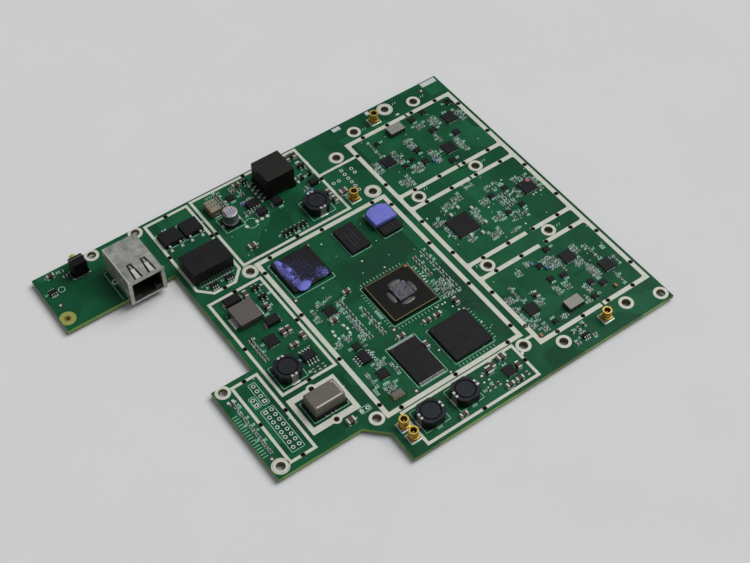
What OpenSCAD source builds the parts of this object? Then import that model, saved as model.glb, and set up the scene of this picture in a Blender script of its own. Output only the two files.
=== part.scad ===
// Circuit board of a radio network unit: a laminate with two arms and a cut corner, bare
// tracks that its screening cans are fixed to, a network socket, transformers, coils, five
// coaxial connectors and the mounted components. Lengths are in millimetres.
// The origin is under the middle of the board, at the level of the lead tips it stands on.

/* [Laminate] */
// Thickness of the laminate
board_t = 1.6; // [1:0.1:2.4]
// Length of the lead tips below the laminate
tip_out = 1.2; // [0.8:0.1:2]
// Length of the port arm, left of the spine
port_arm_l = 46.6; // [46:0.1:60]
// Width of the port arm
port_arm_w = 29.8; // [29.4:0.1:34]
// Height of the cut corner below the header arm
corner_cut_w = 21; // [16:0.5:22]
// Slope cut off the inner corner of the cut
corner_slope = 7.8; // [2:0.1:9]
// Free strip between the outline and a cell
edge_strip = 2; // [1.5:0.1:3]

/* [Shield cells] */
// Length of the header cell
header_cell_l = 11.9; // [11.5:0.1:18]
// Width of the header cell
header_cell_w = 39.7; // [39:0.1:44]
// Length of the clock cell
clock_cell_l = 20.8; // [20:0.1:23]
// Width of the clock cell
clock_cell_w = 18; // [17:0.1:22]
// Length of the buck converter cell
buck_cell_l = 24.5; // [24:0.1:30]
// Width of the buck converter cell
buck_cell_w = 52; // [51.5:0.1:58]
// Length of the power input cell
power_cell_l = 20.5; // [20.3:0.1:24]
// Width of the power input cell
power_cell_w = 46; // [45.5:0.1:52]
// Length of the isolated converter cell
converter_cell_l = 51.8; // [51.5:0.1:58]
// Width of the isolated converter cell
converter_cell_w = 41.5; // [41.2:0.1:48]
// Length of the processor cell
core_cell_l = 62.9; // [62.5:0.1:72]
// Width of the processor cell
core_cell_w = 88.4; // [87.5:0.1:98]
// Length of the edge converter cell
edge_cell_l = 52.1; // [51.8:0.1:58]
// Width of the edge converter cell
edge_cell_w = 17.1; // [16.8:0.1:20]
// Length of a radio cell
radio_cell_l = 55.1; // [54.8:0.1:64]
// Width of a radio cell
radio_cell_w = 38.3; // [38.1:0.1:44]
// Strip between two radio cells
radio_gap = 6.25; // [6.1:0.05:10]
// Width of the slim tracks
slim_track_w = 1.2; // [0.8:0.05:1.3]
// Width of the broad tracks
broad_track_w = 1.9; // [1.85:0.05:2.1]
// Height of the tracks and lands
track_t = 0.1; // [0.05:0.01:0.2]
// Width of the slits in the radio cells' tracks
slit_w = 1; // [0.8:0.1:2.2]

/* [Holes] */
// Radius of the mounting holes
mount_hole_r = 1.8; // [1.2:0.05:2.2]
// Radius of the land round a mounting hole
mount_land_r = 3; // [2.5:0.05:3.05]
// Radius of the shield pin holes in the tracks
fence_hole_r = 0.7; // [0.4:0.05:0.8]
// Pitch of the header holes
header_pitch = 2.54; // [2:0.01:2.6]
// Radius of the header holes
header_hole_r = 0.45; // [0.3:0.05:0.55]
// Radius of the land round a header hole
header_land_r = 0.8; // [0.7:0.05:0.95]
// Radius of a fiducial dot
fiducial_r = 0.5; // [0.3:0.05:0.8]

/* [Network socket] */
// Depth of the socket
jack_l = 21.5; // [20:0.1:23]
// Width of the socket
jack_w = 14.6; // [14:0.1:16.2]
// Height of the socket
jack_h = 12; // [11.6:0.1:14]
// Sheet thickness of the socket shell
jack_sheet = 0.3; // [0.2:0.05:0.5]
// Length of the socket that stands over the edge
jack_overhang = 3.6; // [2.5:0.1:4.5]
// Width of the plug opening
plug_w = 11.7; // [11:0.1:12.2]
// Height of the plug opening
plug_h = 6.8; // [6:0.1:7.2]
// Depth of the plug opening
plug_l = 13; // [11:0.1:14]
// Width of the latch channel
latch_w = 6; // [4:0.1:7]
// Height of the latch channel
latch_h = 1.6; // [1:0.1:2.2]
// Pitch of the contacts
contact_pitch = 1.02; // [0.9:0.01:1.2]
// Thickness of a contact
contact_t = 0.35; // [0.25:0.05:0.45]

/* [Indicator] */
// Depth of the indicator housing
indicator_l = 4.6; // [4.2:0.1:5.2]
// Width of the indicator housing
indicator_w = 5.8; // [5:0.1:6.2]
// Height of the indicator housing
indicator_h = 8; // [7:0.1:9]
// Radius of the lens
lens_r = 1.5; // [1:0.1:2]
// Length of the lens outside the housing
lens_out = 3.4; // [2.4:0.1:4]

/* [Coaxial connectors] */
// Side of the square base
coax_base = 3.8; // [3.4:0.1:4.2]
// Thickness of the base
coax_base_t = 0.9; // [0.6:0.1:1.4]
// Outer radius of the barrel
coax_barrel_r = 1.75; // [1.5:0.05:1.85]
// Radius of the bore in the barrel
coax_bore_r = 1.25; // [1:0.05:1.35]
// Height of the connector above the board
coax_h = 4.7; // [4:0.1:6]
// Radius of the centre pin
coax_pin_r = 0.25; // [0.2:0.05:0.35]
// Side of a leg
coax_leg = 0.6; // [0.5:0.05:0.8]

/* [Transformers] */
// Length of the network transformer
lan_l = 17.5; // [16.5:0.1:18]
// Width of the network transformer
lan_w = 12.4; // [11.5:0.1:13]
// Height of the network transformer
lan_h = 6; // [5:0.1:7]
// Pitch of its leads
lan_pitch = 1.27; // [1:0.01:1.3]
// Length of the flyback transformer
flyback_l = 13; // [12:0.1:13.6]
// Width of the flyback transformer
flyback_w = 12.4; // [11.5:0.1:13]
// Height of the flyback transformer
flyback_h = 11; // [9:0.1:12.5]
// Height of the bobbin foot under the core
bobbin_h = 2.6; // [2:0.1:3.2]
// Pitch of the flyback pins
flyback_pitch = 2.5; // [2.2:0.05:2.6]

/* [Coils] */
// Side of a shielded drum coil
drum_side = 9.9; // [9.4:0.1:10.6]
// Height of a drum coil
drum_h = 4.5; // [3.6:0.1:5.5]
// Radius of the drum seen in the top
drum_r = 3.6; // [3:0.1:4.2]
// Side of the moulded coil
moulded_side = 10; // [9:0.1:10.2]
// Height of the moulded coil
moulded_h = 3.5; // [3:0.1:4.5]

/* [Capacitor cans] */
// Radius of the electrolytic can
can_r = 3.15; // [2.8:0.05:3.2]
// Height of the electrolytic can with its base
can_h = 6.6; // [5.4:0.1:8]
// Length of the tantalum capacitor
tantalum_l = 6.6; // [6:0.1:7.2]
// Width of the tantalum capacitor
tantalum_w = 5; // [4.4:0.1:5.4]
// Height of the tantalum capacitor
tantalum_h = 3.7; // [3:0.1:4.5]

/* [Oscillator] */
// Length of the oscillator base
oscillator_l = 14.2; // [13:0.1:15]
// Width of the oscillator base
oscillator_w = 9.2; // [8.4:0.1:10]
// Height of the oscillator
oscillator_h = 6.4; // [5:0.1:8]
// Thickness of the oscillator base
oscillator_base_t = 1.6; // [1:0.1:2.2]

/* [Large chips] */
// Side of the processor
processor_side = 21; // [19:0.1:22]
// Thickness of the processor substrate
substrate_t = 1.1; // [0.8:0.05:1.5]
// Length of the processor die
die_l = 7; // [6:0.1:8]
// Width of the processor die
die_w = 7.6; // [6:0.1:8.2]
// Thickness of the processor die
die_t = 0.8; // [0.5:0.05:1]
// Side of the two square grid array chips
array_side = 17.3; // [16:0.1:17.6]
// Thickness of the grid array chips
array_t = 1.2; // [0.9:0.05:1.6]
// Length of a memory chip
memory_l = 13.8; // [13:0.1:14.4]
// Width of a memory chip
memory_w = 9; // [8.4:0.1:9.6]
// Height of the solder balls
ball_h = 0.4; // [0.25:0.05:0.6]
// Length of the flash memory body
flash_l = 12; // [11.5:0.1:12.4]
// Width of the flash memory body
flash_w = 18.4; // [17.5:0.1:18.6]
// Thickness of the heat pads
heat_pad_t = 2.2; // [1.5:0.1:3]

/* [Small parts] */
// Length of a tiny chip part
tiny_l = 1; // [0.8:0.05:1.1]
// Width of a tiny chip part
tiny_w = 0.5; // [0.4:0.05:0.6]
// Length of a small chip part
small_l = 1.6; // [1.4:0.05:1.8]
// Width of a small chip part
small_w = 0.8; // [0.6:0.05:0.95]
// Length of a medium chip part
medium_l = 3.2; // [2.8:0.1:3.3]
// Width of a medium chip part
medium_w = 1.6; // [1.4:0.1:1.8]
// Width of a large chip part, as long as the medium one
large_w = 2.5; // [2.2:0.1:2.7]
// Share of a chip part's length that one end cap takes
cap_share = 0.22; // [0.15:0.01:0.3]
// Height of a leadless chip
leadless_h = 0.9; // [0.7:0.05:1.2]
// Height of a leaded chip body
leaded_h = 1.6; // [1.2:0.05:1.9]
// Thickness of a lead
lead_t = 0.2; // [0.15:0.01:0.3]
// Outward reach of a bent lead
lead_reach = 1.1; // [0.9:0.05:1.3]

/* [Hidden] */
$fn = 40;
cut = 1;                      // overrun of a cutting body
fit = 0.05;                   // clearance of a piece that slides into another
lift = 0.1;                   // height of a leaded body above the board

// A zone is [x, y, spread in x, spread in y]: a cell's places are given for its usual size
// and spread with the cell when it is made larger or smaller
function zone(x, y, size, usual) = [x, y, size.x / usual.x, size.y / usual.y];
function in_cell(zone, x, y) = [zone.x + x * zone[2], zone.y + y * zone[3]];
function xy(zone) = [zone.x, zone.y];
function on(place, x, y) = [place.x + x, place.y + y];
function row(start, step, count) = [for (i = [0 : count - 1]) on(start, i * step, 0)];
function column(start, step, count) = [for (i = [0 : count - 1]) on(start, 0, i * step)];
function evenly(first, last, count) = [for (i = [0 : count - 1]) first + (last - first) * i / (count - 1)];

// Places of the cells: each starts where its neighbour ends
column_gap = 1.1;
left_x = port_arm_l + edge_strip;
clock = zone(left_x, corner_cut_w + 7.7, [clock_cell_l, clock_cell_w], [20.8, 18]);
buck = zone(left_x, clock.y + clock_cell_w + 2.3, [buck_cell_l, buck_cell_w], [24.5, 52]);
power = zone(left_x, buck.y + buck_cell_w + 2.7, [power_cell_l, power_cell_w], [20.5, 46]);
header = zone(left_x - 1.5 - header_cell_l, corner_cut_w + 2.8, [header_cell_l, header_cell_w], [11.9, 39.7]);
left_end = left_x + max(buck_cell_l, clock_cell_l + 1.2);
edge = zone(left_end + column_gap + 4.8, 1.5, [edge_cell_l, edge_cell_w], [52.1, 17.1]);
core = zone(left_end + column_gap, edge.y + edge_cell_w + 0.5, [core_cell_l, core_cell_w], [62.9, 88.4]);
converter = zone(max(left_x + power_cell_l + 1, core.x - 4.1), core.y + core_cell_w + 1.3,
                 [converter_cell_l, converter_cell_w], [51.8, 41.5]);
converter_end = [converter.x + converter_cell_l, converter.y];
radio_x = max(core.x + core_cell_l + 2.6, converter_end.x + 17.8, edge.x + edge_cell_l + 8.6);
radio_step = radio_cell_w + radio_gap;
radio_low_y = 12;
RADIO = [for (i = [0 : 2])
    zone(radio_x, radio_low_y + i * radio_step, [radio_cell_l, radio_cell_w], [55.1, 38.3])];
radio_low = RADIO[0];
radio_mid = RADIO[1];
radio_top = RADIO[2];
board_l = radio_x + radio_cell_l + 1.2;
board_w = max(converter.y + converter_cell_w + 0.7, power.y + power_cell_w + 1.3,
              radio_top.y + radio_cell_w + 11.6);
port = [0, board_w - port_arm_w];
top_strip = [radio_x, radio_top.y + radio_cell_w];
arm_x = header.x - 6.6;
arm_top = header.y + header_cell_w + 2.2;
corner_x = core.x - 2.2;

// Mounting holes; one stands in the link between the edge cell's and the radio cells' tracks
linked_mount = on(edge, edge_cell_l + 3.2, edge_cell_w - 3.1);
MOUNTS = [
    on(port, 25.1, port_arm_w - 2.2), on(port, port_arm_l - 1.9, port_arm_w - 2.2),
    on(core, -3.15, core_cell_w - 2.3), on(core, -3.15, 2.3),
    on(header, -3.05, header_cell_w - 0.3), on(header, -3.05, 1.3),
    on(converter_end, 12.4, 2.6), on(converter_end, 11.1, 26.7), linked_mount,
    on(top_strip, 7.9, 4.1), on(top_strip, 39.2, 4.1), on(top_strip, 26.4, 7.4),
    on(radio_top, 8, -radio_gap / 2), on(radio_top, 37.3, -radio_gap / 2),
    on(radio_mid, 8, -radio_gap / 2), on(radio_mid, 39, -radio_gap / 2),
    on(radio_low, 7.9, -4), on(radio_low, 39.2, -4), on(radio_low, radio_cell_l - 2, -8.3)];
tooling_hole = on(port, 2.7, 5.4);
tooling_r = 0.9;

// Holes for the shield pins, spaced evenly along the middle of the broad tracks
track_mid = broad_track_w / 2;
RADIO_PINS = [for (c = RADIO) each concat(
    [for (y = [track_mid, radio_cell_w - track_mid], x = evenly(9, radio_cell_l - 8.1, 4)) on(c, x, y)],
    [for (x = [track_mid, radio_cell_l - track_mid], y = evenly(10, radio_cell_w - 8.3, 2)) on(c, x, y)])];
CORE_PINS = concat(
    [for (y = [track_mid, core_cell_w - track_mid], x = evenly(6.8, core_cell_l - 6.7, 3)) on(core, x, y)],
    [for (x = [track_mid, core_cell_l - track_mid], y = evenly(6.4, core_cell_w - 6.4, 4)) on(core, x, y)]);
clock_bar_w = 2.65;
clock_pin_r = 1.12;
clock_pin_land = 2;
CLOCK_PINS = [for (y = [track_mid, clock_cell_w - track_mid]) on(clock, clock_cell_l / 2 + 0.2, y)];

// Holes in the slim tracks: they are as wide as the track and part it
slim_mid = slim_track_w / 2;
function side_pins(zone, size, x, y) = concat(
    [for (v = [slim_mid, size.y - slim_mid]) [zone.x + x * zone[2], zone.y + v]],
    [for (u = [slim_mid, size.x - slim_mid]) [zone.x + u, zone.y + y * zone[3]]]);
CELL_PINS = concat(
    side_pins(power, [power_cell_l, power_cell_w], 10.2, 25.9), side_pins(buck, [buck_cell_l, buck_cell_w], 12.2, 26),
    side_pins(converter, [converter_cell_l, converter_cell_w], 25.8, 20.6),
    side_pins(header, [header_cell_l, header_cell_w], 5.9, 19.8),
    [on(edge, edge_cell_l / 2, slim_mid), on(edge, edge_cell_l - slim_mid, edge_cell_w / 2)]);

// Header fields
HEADERS = concat(
    column(in_cell(header, 7.4, 27.6), header_pitch, 4), column(in_cell(header, 3.9, 27.6), header_pitch, 2),
    [for (x = [0, header_pitch]) each column(on(in_cell(header, 4.9, 5.3), x, 0), header_pitch, 8)],
    column(on(converter_end, 8.5, 6.8), header_pitch, 6), column(on(converter_end, 12.6, 15.6), header_pitch, 2),
    row(on(converter_end, 1.9, 15.4), header_pitch, 2), row(on(clock, clock_cell_l - 0.9, -1.6), header_pitch, 2));
FIRST_PINS = [
    in_cell(header, 7.4, 27.6), in_cell(header, 3.9, 27.6), on(in_cell(header, 4.9, 5.3), 0, 7 * header_pitch)];
FIDUCIALS = [
    on(port, 3.5, 12.6), on(header, -3.9, 5.6), in_cell(core, 22.4, 83.9), in_cell(core, 3.2, 63.8),
    in_cell(core, 25.4, 30.6), in_cell(core, 15.5, 3.5), in_cell(core, 52.8, 22.9),
    in_cell(edge, 34, 12.3), on(top_strip, 45.9, 7.3)];
BARE_PADS = [for (x = [12.4, 17.3, 19.6, 22.2]) in_cell(converter, x, 16.7)];
PAD_PAIRS = [for (p = [[6.2, 43.4], [5.8, 41.4], [6.2, 39.3]], x = [p.x, 17.4 - p.x]) in_cell(core, x, p.y)];
pad_size = [0.9, 1.3];

COAXES = [
    on(converter_end, 3.9, 3.9), on(top_strip, 18.6, 4.5), on(radio_low, 28.2, -4.8),
    on(edge, -2.1, 11.7), on(edge, -2.1, 5.9)];
coax_leg_at = coax_base / 2 - coax_leg / 2;

jack = on(port, 33.45 - jack_w / 2, -jack_overhang);
jack_pin_y = [15.6, 18.1];
jack_leg_y = 14;
jack_leg_w = 1.2;
jack_flange = 0.5;
peg_r = 1.5;
peg_at = [2.9, 9];
plug_z = 3.6;
tongue = [2.9, 1.5, 7.8];     // width at the root, width at the tip and length of a top spring
side_tongue = [3.2, 2, 6.4];  // the same of a side spring
tongue_slit_w = 0.35;
tongue_y = 1.1;
jack_rim = 1;                 // rim of the shell round its front window
indicator = on(port, 17.2, 22.4);
indicator_pin = 0.5;
indicator_pitch = 2.54;
lens_top_gap = 1.4;
lens_z = indicator_h - lens_r - lens_top_gap;

// Placed parts. A leadless chip is [x, y, length, width]
LEADLESS = [
    [core, [[10.8, 51.9, 4.4, 4.4], [9.3, 32.3, 2.8, 3.2], [10, 16.6, 4.1, 4.1]]],
    [buck, [[10.6, 23.3, 5.1, 5.1]]],
    [converter, [[14.9, 33.2, 3.2, 2.8]]],
    [edge, [[43.6, 8.1, 4.3, 4.3]]],
    [radio_top, [
        [9.3, 19.6, 5.3, 5.3], [45.6, 25.4, 5.4, 5.4], [34.6, 11.4, 5.4, 5.4], [11.3, 30.6, 1.8, 1.8],
        [31.8, 33.5, 2.6, 2.6], [38.3, 34.6, 2.3, 2.3], [35.5, 23.6, 3, 2.4], [23, 17.8, 2.6, 2.6],
        [22, 10.8, 2.6, 2.6], [18, 14.8, 1.8, 1.8], [13.6, 13.5, 2, 2], [42.6, 16.6, 2.8, 2.8],
        [51, 33.3, 3, 2.5], [31.5, 4.8, 2.5, 2.5]]],
    [radio_mid, [
        [12.9, 18.8, 10.3, 10.3], [47, 19.8, 6.2, 6.2], [31.8, 24.4, 2.2, 2.2], [39.1, 24.5, 2.2, 2.2],
        [31.8, 13.4, 2.2, 2.2], [39.1, 13.6, 2.2, 2.2]]],
    [radio_low, [
        [7.8, 14.6, 5.1, 5.1], [35.9, 26.5, 5.4, 5.4], [45.6, 14.4, 5.3, 5.3], [31.6, 34.1, 2.4, 2.4],
        [24, 29.1, 2.4, 2.4], [23.3, 21.7, 2.4, 2.4], [28.6, 20.3, 2.8, 2], [34.8, 11.6, 2.6, 2.2],
        [38.6, 8.5, 2.8, 2.4], [31.6, 5.2, 2.2, 2.2], [11.3, 4.9, 1.8, 1.8]]]];

// Leaded chips are [place, length, width, leads on a side, pitch, turn]
SOICS = [
    [in_cell(converter, 20.5, 25.2), 5.1, 3.8, 4, 1.27, 0], [in_cell(core, 8.6, 26.5), 5.4, 3.8, 4, 1.27, 90],
    [in_cell(buck, 18, 9.4), 5.1, 4, 4, 1.27, 0]];
SOTS = [
    [in_cell(power, 7.4, 3.8), 3.3, 1.8, 3, 0.95, 0], [in_cell(power, 14.1, 3.8), 3.3, 1.8, 3, 0.95, 0],
    [in_cell(converter, 23.1, 4.4), 3, 1.5, 2, 1.9, 0], [in_cell(converter, 27.2, 4.4), 3, 1.5, 2, 1.9, 0],
    [in_cell(converter, 31.3, 4.4), 3, 1.5, 2, 1.9, 0], [on(converter_end, -3.5, 31.2), 3, 1.6, 2, 1.9, 0],
    [in_cell(buck, 19.6, 47.9), 3, 1.5, 2, 1.9, 0], [in_cell(buck, 19.6, 42.7), 3, 1.5, 2, 1.9, 0],
    [in_cell(converter, 24.4, 37.4), 2.4, 1.3, 2, 1.2, 0], [on(converter_end, -3.1, 25.6), 1.7, 1.2, 1, 1, 90],
    [on(converter_end, -7.1, 25.4), 1.7, 1.2, 1, 1, 90],
    [on(port, 4, 19.5), 3, 1.6, 3, 0.95, 0], [on(radio_low, 16.2, -6.6), 3, 1.5, 3, 0.95, 0]];
soic_reach = 1.7;
leaded_pin_w = 0.4;

// Diodes are [place, length, width]
DIODES = [
    [in_cell(converter, 21.3, 19.2), 4.4, 3.2], [in_cell(converter, 29.2, 20.3), 4.4, 3.2],
    [on(converter_end, -4.8, 20.4), 4.2, 3], [in_cell(buck, 8.6, 47.4), 7, 4], [in_cell(buck, 15.9, 30.6), 6, 3.6]];
diode_h = 2.2;

// Coils are [place, turn]
DRUMS = [
    [in_cell(converter, 40.9, 9), 90], [in_cell(buck, 7.7, 7.8), 90], [in_cell(edge, 8, 9.2), 0],
    [in_cell(edge, 23.8, 9.2), 0]];
drum_corner = 2.2;
drum_clip_w = 2.8;
drum_foot_out = 0.6;

tantalum = in_cell(converter, 5.8, 31.5);
electrolytic = in_cell(converter, 8.5, 22.4);
can_base_t = 1.1;
flyback = in_cell(converter, 33.7, 29.6);
lan = in_cell(power, 10.2, 13.7);
lan_reach = 1.5;
lan_plane = 1;
lan_pin_w = 0.45;
transistors = [in_cell(power, 5.7, 34), in_cell(power, 15, 34)];
transistor_l = 8;
transistor_w = 7.4;
transistor_h = 2.3;
moulded = in_cell(buck, 9.2, 38.6);
moulded_clip_w = 4.8;
oscillator = in_cell(clock, 10.8, 8.9);
crystal = in_cell(core, 8.8, 6.2);
crystal_size = [5, 3.2, 1.1];
FILTERS = [in_cell(radio_top, 22.3, 32.4), in_cell(radio_low, 22.3, 7.2)];
filter_size = [7, 4.6, 2];
processor = in_cell(core, 37.5, 42.8);
MEMORIES = [in_cell(core, 38.2, 76.3), in_cell(core, 53.8, 76.2)];
ARRAYS = [in_cell(core, 13.2, 74.9), in_cell(core, 43.7, 13.6)];
flash = in_cell(core, 23.7, 14.4);
// The soft pad on the right memory
heat_pad = in_cell(core, 53.6, 78.6);
heat_pad_size = [10.4, 9];
ball_pitch = 1.6;
ball_r = 0.25;

// Chip parts are [place, turn]
LARGE_CAPS = [
    [in_cell(converter, 8.5, 6.4), 0], [on(converter_end, 2.4, 9.2), 0], [on(clock, 14.2, -3), 0],
    [in_cell(edge, 44.9, 14.6), 0], [in_cell(edge, 37.5, 12.4), 90]];
MEDIUM_CAPS = concat(
    [for (p = [[-2.8, 12, 90], [-2.8, 7.6, 90], [-6.2, 38, 90], [-3, 38, 90]]) [on(converter_end, p[0], p[1]), p[2]]],
    [for (p = [[25.4, 26.3, 0], [37.6, 26.4, 0], [42.5, 26.4, 0], [52.4, 27.6, 90], [21.1, 55.7, 0],
               [9.3, 46.9, 0]]) [in_cell(core, p[0], p[1]), p[2]]],
    [for (p = [[16.4, 23.8, 90], [18.8, 23.8, 90], [21.5, 18.3, 90], [16.4, 16.6, 0], [18.2, 37.5, 90],
               [14.6, 47.4, 90]]) [in_cell(buck, p[0], p[1]), p[2]]],
    [for (p = [[39.9, 13.7, 90], [47.6, 7.9, 90], [39.8, 2.8, 0], [44.4, 2.9, 0], [18.1, 2.6, 0]])
        [in_cell(edge, p[0], p[1]), p[2]]],
    [[on(flash, flash_l / 2 + 1, 3.2), 90], [on(port, 6.8, 27), 0], [in_cell(radio_low, 13.6, 18.7), 90],
     [in_cell(converter, 20.4, 37.7), 0]]);
SMALL_CAPS = concat(
    [for (p = column(in_cell(core, 21.3, 31.5), 2.2, 7)) [p, 0]],
    [for (p = column(in_cell(core, 52.5, 44), 2, 6)) [p, 0]],
    [for (p = column(in_cell(converter, 10.9, 31), 1.8, 5)) [p, 0]],
    [for (p = column(in_cell(converter, 17.6, 35.8), 1.8, 2)) [p, 0]],
    [for (p = row(in_cell(converter, 15.3, 22.4), 1.8, 2)) [p, 90]],
    [for (p = column(in_cell(buck, 4.4, 17), 1.8, 7)) [p, 0]],
    [for (p = row(on(radio_low, 11.8, -8.3), 7.6, 2)) [p, 0]],
    [for (p = row(on(radio_low, 13.4, -2.7), 2.9, 3)) [p, 90]],
    [[in_cell(header, -3, 33.3), 0], [in_cell(converter, 20, 32.1), 0], [in_cell(converter, 17, 27.5), 0]]);
SMALL_RESISTORS = concat(
    [for (p = column(in_cell(core, 16.3, 33), 2.1, 10)) [p, 0]],
    [for (p = column(in_cell(core, 57, 32), 2.1, 12)) [p, 0]],
    [for (p = row(in_cell(edge, 32.4, 6), 2.4, 3)) [p, 90]],
    [for (p = row(in_cell(buck, 16, 2.9), 2.2, 3)) [p, 90]],
    [for (y = [9.7, 11.9, 16, 18.25, 20.5, 22.75, 27, 29.2]) [in_cell(radio_mid, 35.4, y), 0]],
    [[in_cell(converter, 42.5, 19.2), 0], [in_cell(converter, 44.3, 17.2), 0], [in_cell(converter, 20.1, 34.8), 0],
     [on(port, 11.5, 27.3), 0], [on(port, 11.7, 24.4), 0],
     [in_cell(edge, 48.6, 3.4), 90]]);

// Tiny parts stand in blocks: [x, y, columns, rows, step in x, step in y, turn]
TINY_BLOCKS = [
    [radio_top, [
        [3.2, 16.5, 2, 4, 1.5, 1.9, 90], [13.2, 17, 2, 4, 1.5, 1.9, 90], [8.8, 24.4, 1, 5, 0, 1.9, 90],
        [21.8, 20, 2, 5, 2, 1.4, 0], [15.6, 8.6, 4, 2, 1.3, 1.6, 90], [26.2, 7.6, 2, 5, 1.5, 1.7, 90],
        [34.6, 16.9, 1, 4, 0, 1.4, 0], [39.6, 7, 2, 5, 1.4, 1.8, 90], [37.6, 26, 3, 3, 1.5, 1.8, 90],
        [49.8, 21.6, 2, 4, 1.5, 1.8, 90], [31, 28, 3, 2, 1.5, 1.7, 90], [7.8, 4.2, 3, 3, 1.5, 1.6, 0]]],
    [radio_mid, [
        [6.3, 15.5, 1, 5, 0, 1.7, 90], [4, 24.4, 3, 2, 1.5, 1.6, 0], [12.2, 29.6, 3, 2, 1.6, 1.5, 0],
        [17.4, 30.6, 4, 2, 1.4, 1.6, 90], [19.8, 15.5, 2, 5, 1.6, 1.7, 90], [10.5, 10.2, 2, 2, 1.5, 1.6, 90],
        [18.8, 6.6, 4, 2, 1.5, 1.6, 90], [33, 15.6, 1, 4, 0, 2.2, 0], [37.8, 16.4, 1, 4, 0, 2, 0],
        [32.4, 27.4, 2, 2, 5.4, 1.8, 0], [32.4, 8.6, 2, 2, 5.4, 1.6, 0], [41.8, 17.6, 1, 4, 0, 1.6, 0],
        [51.4, 15.6, 1, 6, 0, 1.5, 0], [44.6, 25.4, 4, 1, 1.7, 0, 90], [26, 33.6, 2, 2, 3.4, 1.4, 90],
        [26.6, 4.4, 3, 1, 1.5, 0, 0], [26.4, 22.6, 3, 2, 1.4, 1.7, 90], [26.4, 12.6, 3, 2, 1.4, 1.7, 90]]],
    [radio_low, [
        [2.9, 12.5, 1, 5, 0, 1.6, 0], [7.5, 19.2, 1, 6, 0, 1.7, 90], [3, 21.6, 2, 3, 1.6, 1.2, 0],
        [12, 14.4, 2, 2, 1.5, 1.2, 0], [7, 9.2, 1, 2, 0, 1.6, 0], [2.8, 7.6, 2, 2, 1.4, 1.7, 90],
        [15.6, 29.8, 1, 3, 0, 1.5, 0], [20, 31.8, 2, 2, 1.5, 1.6, 0], [27, 25.4, 3, 4, 1.3, 1.7, 90],
        [31.1, 22, 1, 6, 0, 1.6, 90], [21.6, 14, 1, 4, 0, 1.4, 0], [25.8, 14.2, 2, 2, 1.5, 1.6, 0],
        [40, 26.2, 2, 3, 1.4, 1.7, 90], [36.4, 20.6, 3, 2, 1.5, 1.7, 90], [38.2, 12.6, 3, 4, 1.3, 1.6, 90],
        [45.6, 20, 1, 5, 0, 1.7, 90], [45.6, 4.4, 1, 4, 0, 1.7, 90], [50.6, 13, 1, 3, 0, 1.6, 90],
        [5.8, 3.8, 2, 2, 1.5, 1.6, 0], [14.6, 5, 3, 1, 1.5, 0, 90], [28.6, 4.4, 1, 3, 0, 1.5, 0],
        [31.2, 8.4, 2, 2, 1.5, 1.7, 90]]],
    [core, [
        [4.9, 14, 1, 5, 0, 1.5, 0], [10.6, 20.2, 3, 2, 1.4, 1.6, 90], [15.2, 14.4, 1, 4, 0, 1.5, 0],
        [6.4, 11, 4, 1, 1.5, 0, 90], [6.8, 9.2, 3, 1, 1.3, 0, 90], [8, 36.4, 2, 2, 1.3, 1.5, 90],
        [3.6, 36, 2, 2, 1.4, 1.6, 90], [12.4, 31, 1, 3, 0, 2, 0], [8.4, 49.1, 4, 1, 1.6, 1.4, 0],
        [5.2, 50, 1, 4, 0, 1.5, 0], [7.8, 56.6, 3, 1, 1.4, 0, 90], [13.2, 57.6, 2, 1, 1.4, 0, 90],
        [15, 53.8, 3, 1, 1.2, 0, 90], [14.6, 34.4, 1, 8, 0, 1.5, 0], [51.4, 31.4, 3, 6, 1.7, 1.6, 0]]],
    [header, [[-2.7, 8, 1, 19, 0, 1.3, 0]]]];
// Every third part of a block lies the other way
tiny_places = [for (z = TINY_BLOCKS, b = z[1], i = [0 : b[2] - 1], j = [0 : b[3] - 1])
    [in_cell(z[0], b[0] + i * b[4], b[1] + j * b[5]), b[6] + ((2 * i + j) % 3 == 2 ? 90 : 0)]];
// Capacitors and resistors take turns
TINY_CAPS = [for (i = [0 : 2 : len(tiny_places) - 1]) tiny_places[i]];
TINY_RESISTORS = [for (i = [1 : 2 : len(tiny_places) - 1]) tiny_places[i]];
tiny_t = 0.45;
small_t = 0.8;
medium_t = 1.5;
resistor_t = 0.45;

// ---- General shapes -------------------------------------------------------------

// Moves a shape drawn in board coordinates into the part's frame, on the board's top
module on_top() {
    translate([-board_l / 2, -board_w / 2, tip_out + board_t]) children();
}

// Puts a shape at a place on the board, turned about its own middle
module at(place, turn = 0) {
    translate([place.x, place.y, 0]) rotate(turn) children();
}

// A box centred on its place, standing on z = 0
module slab(l, w, h) {
    translate([-l / 2, -w / 2, 0]) cube([l, w, h]);
}

// A rectangle with rounded corners, centred
module round_rectangle(l, w, r) {
    square([l - 2 * r, w], center = true);
    square([l, w - 2 * r], center = true);
    for (x = [-1, 1], y = [-1, 1])
        translate([x * (l / 2 - r), y * (w / 2 - r)]) circle(r);
}

// A plate with rounded corners, standing on z = 0
module round_plate(l, w, h, r) {
    linear_extrude(h) round_rectangle(l, w, r);
}

// A moulded body: its long sides slope in above and below the band where the leads leave
module moulded_body(l, w, h, slope, plane = 0) {
    low = (plane > 0 ? plane : h / 2) - lead_t / 2;
    high = low + lead_t;
    translate([-l / 2, 0, 0]) rotate([90, 0, 90]) linear_extrude(l)
        polygon([[-w / 2 + slope, 0], [w / 2 - slope, 0], [w / 2, low], [w / 2, high], [w / 2 - slope, h],
                 [-w / 2 + slope, h], [-w / 2, high], [-w / 2, low]]);
}

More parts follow.
